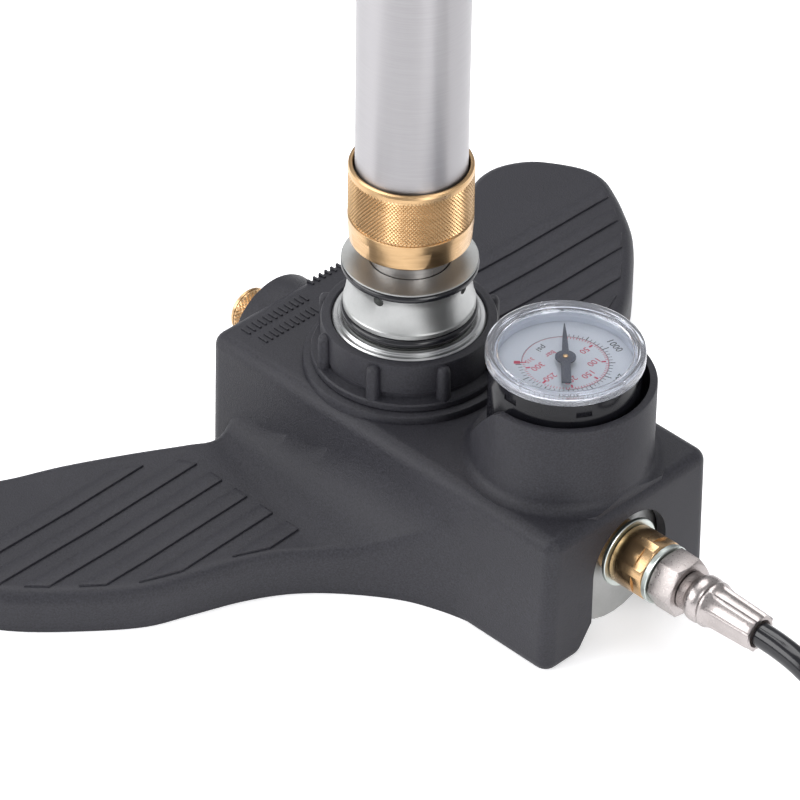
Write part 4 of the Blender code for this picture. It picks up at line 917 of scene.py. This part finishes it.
def pump_tube():
    bore = TUBE_R - 1.6 * MM
    chamfer = 0.4 * MM
    piece = turned("pump_tube", [
        (bore, TUBE_LOW.z), (TUBE_R - chamfer, TUBE_LOW.z), (TUBE_R, TUBE_LOW.z + chamfer),
        (TUBE_R, TUBE_HIGH.z - chamfer), (TUBE_R - chamfer, TUBE_HIGH.z), (bore, TUBE_HIGH.z)], 160)
    finished(piece, "tube_steel", "handle", "outer_tube")


def collar():
    """Brass end collar: a chamfered foot with spanner flats, a plain band, diamond knurling and a plain rim."""
    low, top, radius = COLLAR_LOW.z, COLLAR_HIGH.z, COLLAR_HIGH.x
    seat_r = TUBE_R + 0.55 * MM
    knurl_low, knurl_high = low + 11.6 * MM, top - 2.6 * MM
    depth = 0.42 * MM
    core = radius - depth - 0.15 * MM
    piece = turned("end_collar", [
        (14.6 * MM, low), (18.3 * MM, low), (18.7 * MM, low + 0.1 * MM), (radius - 0.9 * MM, low + 1.5 * MM),
        (radius - 0.55 * MM, low + 2.0 * MM), (radius - 0.4 * MM, low + 3.0 * MM),
        (radius - 0.1 * MM, low + 7.6 * MM), (radius, low + 8.3 * MM), (radius, knurl_low - 0.3 * MM),
        (core, knurl_low), (core, knurl_high),
        (radius, knurl_high + 0.3 * MM), (radius, top - 1.1 * MM), (radius - 0.3 * MM, top - 0.3 * MM),
        (radius - 1.0 * MM, top), (seat_r + 0.3 * MM, top), (seat_r, top - 0.4 * MM), (seat_r, low + 14 * MM),
        (18.2 * MM, low + 14 * MM), (18.2 * MM, low + 2.5 * MM), (14.6 * MM, low + 2.5 * MM)], 160)
    cut_about(piece, (20.7 * MM, -7 * MM, low - 1 * MM), (radius + 3 * MM, 7 * MM, low + 8 * MM),
              range(20, 380, 60))
    band = knurled("knurl", radius, knurl_low + 0.05 * MM, knurl_high - 0.05 * MM, 100, 11, depth)
    piece = gathered("end_collar", [piece, band])
    finished(piece, "brass", "handle", "brass_collar", angle=20)


def handle():
    skirt, top, radius = CAP_LOW.z, CAP_HIGH.z, CAP_HIGH.x
    seat_r = TUBE_R + GAP
    rod_top = TUBE_HIGH.z + 8 * MM
    cap = turned("tube_cap", [
        (0, rod_top + GAP), (5 * MM, rod_top + GAP), (5 * MM, TUBE_HIGH.z + GAP), (seat_r, TUBE_HIGH.z + GAP),
        (seat_r, skirt), (radius - 1.0 * MM, skirt), (radius - 0.3 * MM, skirt + 0.4 * MM),
        (radius, skirt + 1.4 * MM), (radius, skirt + 8 * MM), (radius - 0.8 * MM, skirt + 8.6 * MM),
        (radius - 0.8 * MM, skirt + 9.6 * MM), (radius, skirt + 10.2 * MM), (radius, top - 6 * MM),
        (radius - 0.5 * MM, top - 3.6 * MM), (radius - 1.8 * MM, top - 1.4 * MM),
        (radius - 4 * MM, top - 0.3 * MM), (radius - 6 * MM, top), (0, top)], 96)
    bar_r = BAR_HIGH.x
    reach = 60 * MM
    hole_r = bar_r + GAP
    hole = turned("bar_hole", [(0, -reach), (hole_r, -reach), (hole_r, reach), (0, reach)], SMALL_ROUND)
    combine(cap, placed(hole, along_y(0, 0, BAR_Z)))
    screw_hole = turned("screw_hole", [(0, BAR_Z), (3.3 * MM, BAR_Z), (3.3 * MM, top - 3 * MM),
                                       (5.8 * MM, top - 3 * MM), (5.8 * MM, top + 5 * MM),
                                       (0, top + 5 * MM)], 48)
    combine(cap, screw_hole)
    soften(cap, 0.4 * MM, 2, 40)
    finished(cap, "nylon", "handle", "handle_cap")
    screw_low, screw_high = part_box("handle_screw")
    head = screw_high.z - 2.7 * MM
    screw = turned("cap_screw", [
        (0, screw_low.z), (3 * MM, screw_low.z), (3 * MM, head), (5.5 * MM, head),
        (5.5 * MM, screw_high.z - 0.5 * MM), (5.0 * MM, screw_high.z), (0, screw_high.z)], 48)
    socket = turned("hex_socket", [(0, screw_high.z - 2 * MM), (2.9 * MM, screw_high.z - 2 * MM),
                                   (2.9 * MM, screw_high.z + 2 * MM), (0, screw_high.z + 2 * MM)], 6)
    finished(combine(screw, socket), "steel", "handle", "handle_screw")
    end = BAR_HIGH.y
    bar = turned("cross_bar", [
        (bar_r - 2 * MM, -end), (bar_r - 0.4 * MM, -end), (bar_r, -end + 0.4 * MM), (bar_r, end - 0.4 * MM),
        (bar_r - 0.4 * MM, end), (bar_r - 2 * MM, end)], SMALL_ROUND)
    finished(placed(bar, along_y(0, 0, BAR_Z)), "steel", "handle", "crossbar")
    for side, node in ((1, "grip_left"), (-1, "grip_right")):
        grip = grip_piece(node, side)
        finished(grip, "grip_rubber", "handle", node)


def grip_piece(node, side):
    """Hand grip: a flange at its inner end, eleven finger grooves and a domed outer end."""
    low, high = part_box(node)
    start, end = (low.y, high.y) if side > 0 else (-high.y, -low.y)
    radius = high.x
    bore = BAR_HIGH.x + GAP
    groove, ridges, plain = radius - 1.4 * MM, 11, 7 * MM
    profile = [(bore, start), (radius - 0.8 * MM, start), (radius, start + 0.8 * MM), (radius, start + 4 * MM),
               (groove, start + 5.2 * MM)]
    pitch = (end - start - 2 * plain) / ridges
    for k in range(ridges):
        foot = start + plain + pitch * k
        profile += [(groove, foot - 0.9 * MM), (radius - 0.5 * MM, foot), (radius - 0.35 * MM, foot + 0.3 * pitch),
                    (radius - 0.5 * MM, foot + 0.6 * pitch), (groove, foot + 0.6 * pitch + 0.9 * MM)]
    profile += [(groove, end - plain), (radius, end - 5.5 * MM), (radius, end - 3 * MM),
                (radius - 0.9 * MM, end - 0.9 * MM), (radius - 3 * MM, end)]
    profile = [(0, end - 4 * MM), (bore, end - 4 * MM)] + profile + [(0, end)]
    piece = turned(node + "_cover", profile, 72)
    turn = Matrix.Identity(4) if side > 0 else Matrix.Rotation(math.pi, 4, "X")
    return placed(piece, along_y(0, 0, BAR_Z) @ turn)


# ---- gauge --------------------------------------------------------------------------------------------
ZERO = math.radians(135)
SWEEP = math.radians(270)
BAR_FULL = 315.0
PSI_FULL = 4570.0


def gauge_case():
    low, rim = CASE_LOW.z, CASE_HIGH.z
    radius = CASE_HIGH.x - GAUGE_X
    bore = radius - 1.5 * MM
    case = turned("gauge_cup", [
        (5.3 * MM, low), (radius - 1.0 * MM, low), (radius - 0.3 * MM, low + 0.3 * MM),
        (radius, low + 1.0 * MM),
        (radius, rim - 7 * MM), (radius - 0.25 * MM, rim - 6.6 * MM), (radius - 0.25 * MM, rim), (bore, rim),
        (bore, low + 2 * MM), (5.3 * MM, low + 2 * MM)], 160)
    cut_about(case, (radius - 0.7 * MM, -2.6 * MM, rim - 6.2 * MM), (radius + 1 * MM, 2.6 * MM, rim - 4.4 * MM),
              range(-92, 268, 60))
    finished(placed(case, GAUGE_PLACE), "gloss_black", "base", "gauge_case")
    foot = DIAL_HIGH.z + 0.1 * MM
    liner = turned("gauge_liner", [
        (bore - 1.1 * MM, foot), (bore - 0.2 * MM, foot), (bore - 0.2 * MM, rim - 0.1 * MM),
        (bore - 0.7 * MM, rim - 0.1 * MM), (bore - 0.9 * MM, rim - 1.2 * MM),
        (bore - 1.1 * MM, rim - 1.4 * MM)])
    finished(placed(liner, GAUGE_PLACE), "pale_ring", "base")


def gauge_window():
    """Snap-on clear bezel: a flat pane, a stepped rim and a skirt over the case."""
    low, top = WINDOW_LOW.z, WINDOW_HIGH.z
    radius = WINDOW_HIGH.x - GAUGE_X
    case_r = CASE_HIGH.x - GAUGE_X
    rim = CASE_HIGH.z
    pane = top - 1.3 * MM
    pane_r = radius - 4.2 * MM
    rim_piece = turned("gauge_bezel", [
        (pane_r + 0.05 * MM, rim + 1.0 * MM), (pane_r + 0.5 * MM, rim + GAP), (case_r + 0.2 * MM, rim + GAP),
        (case_r + 0.2 * MM, low), (radius - 0.2 * MM, low), (radius, low + 0.3 * MM),
        (radius, top - 1.2 * MM),
        (radius - 0.25 * MM, top - 0.4 * MM), (radius - 0.9 * MM, top), (radius - 1.9 * MM, top),
        (radius - 2.3 * MM, top - 0.35 * MM), (radius - 3.0 * MM, top - 0.4 * MM),
        (radius - 3.2 * MM, top - 0.8 * MM), (radius - 3.9 * MM, top - 0.85 * MM),
        (radius - 4.1 * MM, pane), (pane_r + 0.05 * MM, pane)], 160)
    finished(placed(rim_piece, GAUGE_PLACE), "milky", "base", "gauge_window", angle=25)
    glass = turned("gauge_pane", [(0, rim + 1.0 * MM), (pane_r, rim + 1.0 * MM), (pane_r, pane), (0, pane)])
    finished(placed(glass, GAUGE_PLACE), "clear", "base")


def dial():
    low, top = DIAL_LOW.z, DIAL_HIGH.z
    radius = DIAL_HIGH.x - GAUGE_X
    hole_r, edge = 1.3 * MM, 0.1 * MM
    piece = turned("dial_card", [(hole_r, low), (radius, low), (radius, top - edge), (radius - edge, top),
                                 (hole_r, top)])
    finished(placed(piece, GAUGE_PLACE), "dial", "base", "gauge_dial")


INK = 0.04 * MM


def tick(start, end, width):
    """One printed line along X, from its inner to its outer radius."""
    return block("tick", (start, -width / 2, DIAL_HIGH.z + 0.005 * MM), (end, width / 2, DIAL_HIGH.z + INK))


def scale_angle(share):
    return ZERO - SWEEP * share


def band(inner, outer, start, end):
    """A printed arc: a short edge along X spun about the dial's middle."""
    deselect()
    z = DIAL_HIGH.z + INK
    bpy.ops.mesh.primitive_plane_add(size=1, location=(0, 0, 0))
    piece = bpy.context.object
    edit_where(piece, lambda co: co.y > 0)
    bpy.ops.mesh.delete(type="VERT")
    done()
    for vert in piece.data.vertices:
        vert.co = (inner if vert.co.x < 0 else outer, 0, z)
    edit(piece)
    steps = max(int(abs(end - start) / math.radians(3)), 3)
    bpy.ops.mesh.spin(steps=steps, angle=end - start, center=(0, 0, 0), axis=(0, 0, 1))
    bpy.ops.mesh.select_all(action="SELECT")
    bpy.ops.mesh.normals_make_consistent(inside=False)
    done()
    for polygon in piece.data.polygons:
        if polygon.normal.z < 0:
            polygon.flip()
    return placed(piece, about_z(start))


def word(text, size, radius, angle):
    """Printed characters, upright when read from the dial's middle outwards."""
    deselect()
    bpy.ops.object.text_add(location=(0, 0, 0))
    letters = bpy.context.object
    letters.data.body = text
    letters.data.size = size
    letters.data.align_x = "CENTER"
    letters.data.align_y = "CENTER"
    letters.data.extrude = INK / 2
    letters.data.resolution_u = 3
    pick(letters)
    bpy.ops.object.convert(target="MESH")
    letters = bpy.context.object
    height = Matrix.Translation((0, 0, DIAL_HIGH.z + INK / 2 + 0.01 * MM))
    turn = about_z(angle) @ Matrix.Translation((radius, 0, 0)) @ about_z(-math.pi / 2)
    return placed(letters, height @ turn)


def printing():
    """Outer black scale and inner red scale, each with its numbers, and the red marks at the limit."""
    black, red = [], []
    for k in range(46):
        long = k % 10 == 0
        middle = k % 5 == 0
        end = 17.1 if long else 16.6 if middle else 15.9
        mark = tick(14.6 * MM, end * MM, (0.34 if middle else 0.2) * MM)
        black.append(placed(mark, about_z(scale_angle(k * 100 / PSI_FULL))))
    for k in range(1, 5):
        black.append(word(str(k * 1000), 3.7 * MM, 19.3 * MM, scale_angle(k * 1000 / PSI_FULL)))
    for k in range(64):
        major = k % 10 == 0
        start, end, width = (12.0, 13.6, 0.7) if major else (13.4, 14.3, 0.2)
        mark = tick(start * MM, end * MM, width * MM)
        red.append(placed(mark, about_z(scale_angle(k * 5 / BAR_FULL))))
    for k in range(1, 7):
        angle = scale_angle(k * 50 / BAR_FULL)
        number = Matrix.Translation((9.5 * MM * math.cos(angle), 9.5 * MM * math.sin(angle), 0))
        red.append(placed(word(str(k * 50), 3.5 * MM, 0, 0), number))
    limit = scale_angle(1.0)
    black.append(band(14.5 * MM, 14.65 * MM, limit, scale_angle(0.0)))
    red.append(band(14.28 * MM, 14.42 * MM, limit, scale_angle(0.0)))
    red.append(placed(tick(13.0 * MM, 15.0 * MM, 0.5 * MM), about_z(limit)))
    red.append(placed(tick(15.0 * MM, 17.1 * MM, 1.5 * MM), about_z(limit)))
    red.append(placed(word("315", 2.4 * MM, 0, 0), Matrix.Translation((-9.3 * MM, -7.6 * MM, 0))))
    black.append(placed(word("psi", 3.4 * MM, 0, 0), Matrix.Translation((-11.1 * MM, 0, 0))))
    red.append(placed(word("bar", 3.1 * MM, 0, 0), Matrix.Translation((-6.9 * MM, 0, 0))))
    for name, marks, finish in (("black_scale", black, "black_ink"), ("red_scale", red, "red_ink")):
        piece = gathered(name, marks)
        finished(placed(piece, GAUGE_PLACE), finish, "base")


def tapered(name, start, end, half_start, half_end, low, high):
    """A flat bar along X whose half width changes from one end to the other."""
    piece = block(name, (start, -half_start, low), (end, half_start, high))
    edit_where(piece, lambda co: co.x > (start + end) / 2)
    bpy.ops.transform.resize(value=(1, half_end / half_start, 1), center_override=(0, 0, 0))
    done()
    return piece


def pointer():
    """Blade with a round hub and a broad tail, on a brass spindle."""
    low = DIAL_HIGH.z + 2.2 * MM
    high = low + 0.5 * MM
    blade = tapered("blade", 0, 12.1 * MM, 1.3 * MM, 0.75 * MM, low, high)
    combine(blade, tapered("blade_end", 12.0 * MM, 18.4 * MM, 0.75 * MM, 0.15 * MM, low, high), "UNION")
    hub = turned("hub", [(0, low), (3.5 * MM, low), (3.5 * MM, high), (0, high)], 48)
    tail = block("tail", (-14.0 * MM, -1.6 * MM, low), (0, 1.6 * MM, high))
    for piece in (hub, tail):
        combine(blade, piece, "UNION")
    soften(blade, 0.1 * MM, 2)
    placed(blade, GAUGE_PLACE @ about_z(ZERO))
    finished(blade, "pointer", "pointer", "gauge_pointer", name="pointer_blade")
    spindle_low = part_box("gauge_pointer")[0].z
    pin = turned("pin", [
        (0, spindle_low), (1.0 * MM, spindle_low), (1.0 * MM, high - 0.1 * MM), (0.9 * MM, high + 0.4 * MM),
        (0.6 * MM, high + 0.6 * MM), (0, high + 0.6 * MM)], 32)
    finished(placed(pin, GAUGE_PLACE), "brass", "pointer", name="pointer_pin")


# ---- hose outlet --------------------------------------------------------------------------------------
def washer(node, bore, name, finish):
    low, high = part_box(node)
    radius = high.z - OUTLET_Z
    long = high.x - low.x
    chamfer = 0.25 * MM
    piece = turned(name, [(bore, 0), (radius - chamfer, 0), (radius, chamfer), (radius, long - chamfer),
                          (radius - chamfer, long), (bore, long)], 96)
    finished(placed(piece, along_x(low.x, 0, OUTLET_Z)), finish, "base", node)


def outlet():
    place = along_x(0, 0, OUTLET_Z)
    washer("outlet_washer", 8.3 * MM, "face_washer", "zinc")
    washer("bonded_washer", 5.3 * MM, "seal_washer", "zinc")
    low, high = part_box("outlet_adapter")
    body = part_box("outlet_washer")[1].x + GAP
    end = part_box("bonded_washer")[0].x - GAP
    radius = high.z - OUTLET_Z
    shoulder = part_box("manifold_block")[1].x + GAP
    adapter = turned("brass_adapter", [
        (VALVE_BORE_R, low.x), (6 * MM, low.x), (6 * MM, shoulder), (9.5 * MM, shoulder),
        (9.5 * MM, body - 2.2 * MM),
        (8 * MM, body - 2.2 * MM), (8 * MM, body), (radius - 0.4 * MM, body), (radius, body + 0.4 * MM),
        (radius, end - 0.8 * MM), (radius - 0.8 * MM, end), (5 * MM, end), (5 * MM, high.x),
        (VALVE_BORE_R, high.x)])
    cut_about(adapter, (radius - 0.75 * MM, -8 * MM, end - 4.2 * MM), (radius + 3 * MM, 8 * MM, end + 0.2 * MM),
              (42, 162, 222, 342, 102, 282))
    soften(adapter, 0.15 * MM, 1, 25)
    finished(placed(adapter, place), "brass", "base", "outlet_adapter")

    low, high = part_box("hose_nut")
    corner = 9.5 * MM / math.cos(math.pi / 6)
    nut = turned("swivel_nut", [(0, low.x), (corner, low.x), (corner, high.x), (0, high.x)], 6)
    chamfer = turned("nut_chamfer", [(0, low.x), (9.3 * MM, low.x), (corner + 0.4 * MM, low.x + 1.1 * MM),
                                     (corner + 0.4 * MM, high.x - 1.1 * MM), (9.3 * MM, high.x), (0, high.x)])
    combine(nut, chamfer, "INTERSECT")
    step = high.x - 4 * MM
    combine(nut, turned("nut_bore", [(0, low.x - 5 * MM), (5.3 * MM, low.x - 5 * MM), (5.3 * MM, step),
                                     (5.9 * MM, step), (5.9 * MM, high.x - 0.8 * MM),
                                     (7.2 * MM, high.x + 0.5 * MM),
                                     (7.2 * MM, high.x + 5 * MM), (0, high.x + 5 * MM)], SMALL_ROUND))
    soften(nut, 0.2 * MM, 2, 25)
    finished(placed(nut, place), "nickel", "base", "hose_nut")

    low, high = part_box("hose_insert")
    collar_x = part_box("hose_ferrule")[0].x - GAP
    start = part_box("hose_nut")[1].x
    insert = turned("hose_stem", [
        (VALVE_BORE_R, low.x), (5.6 * MM, low.x), (5.6 * MM, start), (6.9 * MM, start + GAP),
        (6.9 * MM, start + 3.2 * MM),
        (7.2 * MM, start + 3.7 * MM), (7.9 * MM, start + 4.4 * MM), (8.4 * MM, start + 5.6 * MM),
        (8.5 * MM, start + 6.6 * MM), (8.4 * MM, collar_x - 1.6 * MM), (7.9 * MM, collar_x - 0.6 * MM),
        (7.2 * MM, collar_x), (2.6 * MM, collar_x), (2.6 * MM, high.x), (VALVE_BORE_R, high.x)], 96)
    finished(placed(insert, place), "nickel", "base", "hose_insert")
    place = along_x(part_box("hose_ferrule")[0].x, 0, OUTLET_Z)
    ferrule = crimped_ferrule("crimp_ferrule", "hose_ferrule", place)
    finished(ferrule, "nickel", "base", "hose_ferrule", angle=40)


# A ferrule's outside, in millimetres from its axis and from its larger end.
FERRULE_SHAPE = [(8.1, 0.0), (8.3, 0.3), (8.3, 1.2), (8.1, 2.0), (7.75, 3.2), (7.55, 8.0), (7.35, 14.0), (7.15, 18.5),
                 (7.1, 20.6), (6.8, 21.4)]


def crimped_ferrule(name, node, place):
    """A ferrule pressed in dies: eight flats run along it with a raised line between neighbours."""
    low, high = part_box(node)
    long = high.x - low.x
    bore, outside = HOSE_R + GAP, 6.5 * MM
    profile = [(bore + 0.3 * MM, 0.0)] + [(r * MM, min(h * MM, long)) for r, h in FERRULE_SHAPE]
    profile += [(bore + 0.5 * MM, long), (bore, long - 0.6 * MM), (bore, 0.3 * MM)]
    piece = turned(name, profile, 96)
    flats, pressed, crimp_start, run_in = 8, 0.62 * MM, 1.6 * MM, 1.2 * MM
    flat_share, slope_share = 0.80, 0.12
    for vert in piece.data.vertices:
        radius = math.hypot(vert.co.x, vert.co.y)
        along = vert.co.z - crimp_start
        if radius < outside or along < 0:
            continue
        angle = math.atan2(vert.co.y, vert.co.x) * flats / FULL_TURN
        share = abs(angle - round(angle)) * 2
        depth = pressed * min(along / run_in, 1.0) * min(max(1 - (share - flat_share) / slope_share, 0.0), 1.0)
        vert.co.x *= 1 - depth / radius
        vert.co.y *= 1 - depth / radius
    return placed(piece, place)


# ---- coupler ------------------------------------------------------------------------------------------
def coupler():
    """Quick coupler on the hose's far end: ferrule, body with a hexagon, and a sleeve with grip rings."""
    low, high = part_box("coupler_ferrule")
    axis_y, axis_z = (low.y + high.y) / 2, (low.z + high.z) / 2
    ferrule = crimped_ferrule("coupler_crimp", "coupler_ferrule", along_x(low.x, axis_y, axis_z))
    finished(ferrule, "nickel", "base", "coupler_ferrule", angle=40)
    low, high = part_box("coupler_body")
    long = high.x - low.x
    place = along_minus_x(high.x, axis_y, axis_z)
    step = 12 * MM
    barrel, clip = 7.0 * MM, 1.6 * MM
    body = turned("coupler_barrel", [
        (0, 0), (6.8 * MM, 0), (7.2 * MM, 0.3 * MM), (8.7 * MM, 1.8 * MM), (9.0 * MM, 2.4 * MM),
        (9.0 * MM, step - 0.4 * MM), (8.6 * MM, step), (barrel, step), (barrel, long - 2 * clip),
        (barrel + 0.9 * MM, long - 2 * clip), (barrel + 0.9 * MM, long - clip), (barrel, long - clip),
        (barrel - 0.6 * MM, long), (4.9 * MM, long), (4.6 * MM, long - 0.4 * MM), (4.6 * MM, long - 16 * MM),
        (2 * MM, long - 16 * MM), (2 * MM, 2 * MM), (0, 2 * MM)], 96)
    cut_about(body, (8.2 * MM, -7 * MM, 3 * MM), (12 * MM, 7 * MM, step - 1.2 * MM), range(0, 360, 60))
    finished(placed(body, place), "nickel", "base", "coupler_body")
    low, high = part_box("coupler_sleeve")
    radius = high.z - axis_z
    long = high.x - low.x
    profile = [(7.3 * MM, 3.5 * MM), (7.3 * MM, 0), (radius - 1 * MM, 0), (radius, 1 * MM), (radius, 4 * MM)]
    rings, pitch = 4, 2.2 * MM
    for k in range(rings):
        foot = 5.2 * MM + pitch * k
        profile += [(radius, foot), (radius - 0.5 * MM, foot + 0.4 * MM), (radius - 0.5 * MM, foot + 1.0 * MM),
                    (radius, foot + 1.4 * MM)]
    profile += [(radius, long - 1 * MM), (radius - 0.3 * MM, long), (radius - 1 * MM, long),
                (radius - 1 * MM, 3.5 * MM)]
    sleeve = turned("coupler_slide", profile, 96)
    finished(placed(sleeve, along_x(low.x, axis_y, axis_z)), "nickel", "sleeve", "coupler_sleeve")
    return [ferrule, body, sleeve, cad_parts["coupler_spring"]]


# ---- bleed valve --------------------------------------------------------------------------------------
def bleed_knob():
    low, high = KNOB_LOW, KNOB_HIGH
    radius = high.z - BLEED_Z
    long = high.x - low.x
    depth = 0.5 * MM
    core, rim = radius - depth - 0.2 * MM, radius - 0.4 * MM
    socket = 4.7 * MM
    body = turned("bleed_hand_knob", [
        (0, socket), (3.3 * MM, socket), (3.3 * MM, 0), (radius - 1.4 * MM, 0), (radius - 0.6 * MM, 0.6 * MM),
        (radius - 0.6 * MM, 1.4 * MM), (core, 1.6 * MM), (core, long - 2.2 * MM), (rim, long - 2.0 * MM),
        (rim, long - 1.2 * MM), (radius - 1.4 * MM, long), (0, long)], 96)
    knurl = knurled("bleed_knurl", radius, 1.7 * MM, long - 2.3 * MM, 36, 5, depth)
    knob = gathered("bleed_hand_knob", [body, knurl])
    finished(placed(knob, along_minus_x(high.x, 0, BLEED_Z)), "brass", "bleed", "bleed_knob", angle=20)


# ---- studio -------------------------------------------------------------------------------------------
def soft_light(name, place, size, power, target=(0, 0, 0.05), tint=(1, 1, 1)):
    data = bpy.data.lights.new(name, "AREA")
    data.shape = "RECTANGLE"
    data.size, data.size_y = size
    data.energy = power
    data.color = tint
    light = bpy.data.objects.new(name, data)
    light.location = place
    light.rotation_euler = (Vector(target) - Vector(place)).to_track_quat("-Z", "Y").to_euler()
    bpy.context.scene.collection.objects.link(light)


def studio():
    deselect()
    bpy.ops.mesh.primitive_grid_add(x_subdivisions=24, y_subdivisions=24, size=12, location=(0, 0, -0.0002))
    floor = bpy.context.object
    floor.name = "studio_floor"
    material, shader = new_finish("floor_paper", (0.93, 0.93, 0.94), 0.9)
    shader.inputs["Specular IOR Level"].default_value = 0.1
    shader.inputs["Emission Color"].default_value = (1, 1, 1, 1)
    shader.inputs["Emission Strength"].default_value = 0.40
    floor.data.materials.append(material)
    world = bpy.data.worlds.new("studio_world")
    world.use_nodes = True
    world.node_tree.nodes["Background"].inputs["Color"].default_value = (0.93, 0.94, 0.97, 1)
    world.node_tree.nodes["Background"].inputs["Strength"].default_value = 0.48
    bpy.context.scene.world = world
    soft_light("top_light", (-0.5, 0.3, 1.9), (1.6, 1.6), 30)
    soft_light("left_light", (-0.95, -1.55, 1.0), (1.8, 1.2), 28)
    soft_light("right_light", (1.8, -0.55, 0.9), (0.8, 1.2), 16)
    bpy.context.scene.view_settings.view_transform = "Standard"


# ---- the pump -----------------------------------------------------------------------------------------
def build_pump():
    set_camera()
    hose(coupler())
    foot_plate()
    ring_nut()
    seat()
    gland()
    inner_tube()
    pump_tube()
    collar()
    handle()
    gauge_case()
    gauge_window()
    dial()
    printing()
    pointer()
    outlet()
    bleed_knob()
    for node, finish in KEPT_NODES.items():
        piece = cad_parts[node]
        piece.data.materials.clear()
        piece.data.materials.append(FINISHES[finish])
    studio()


build_pump()
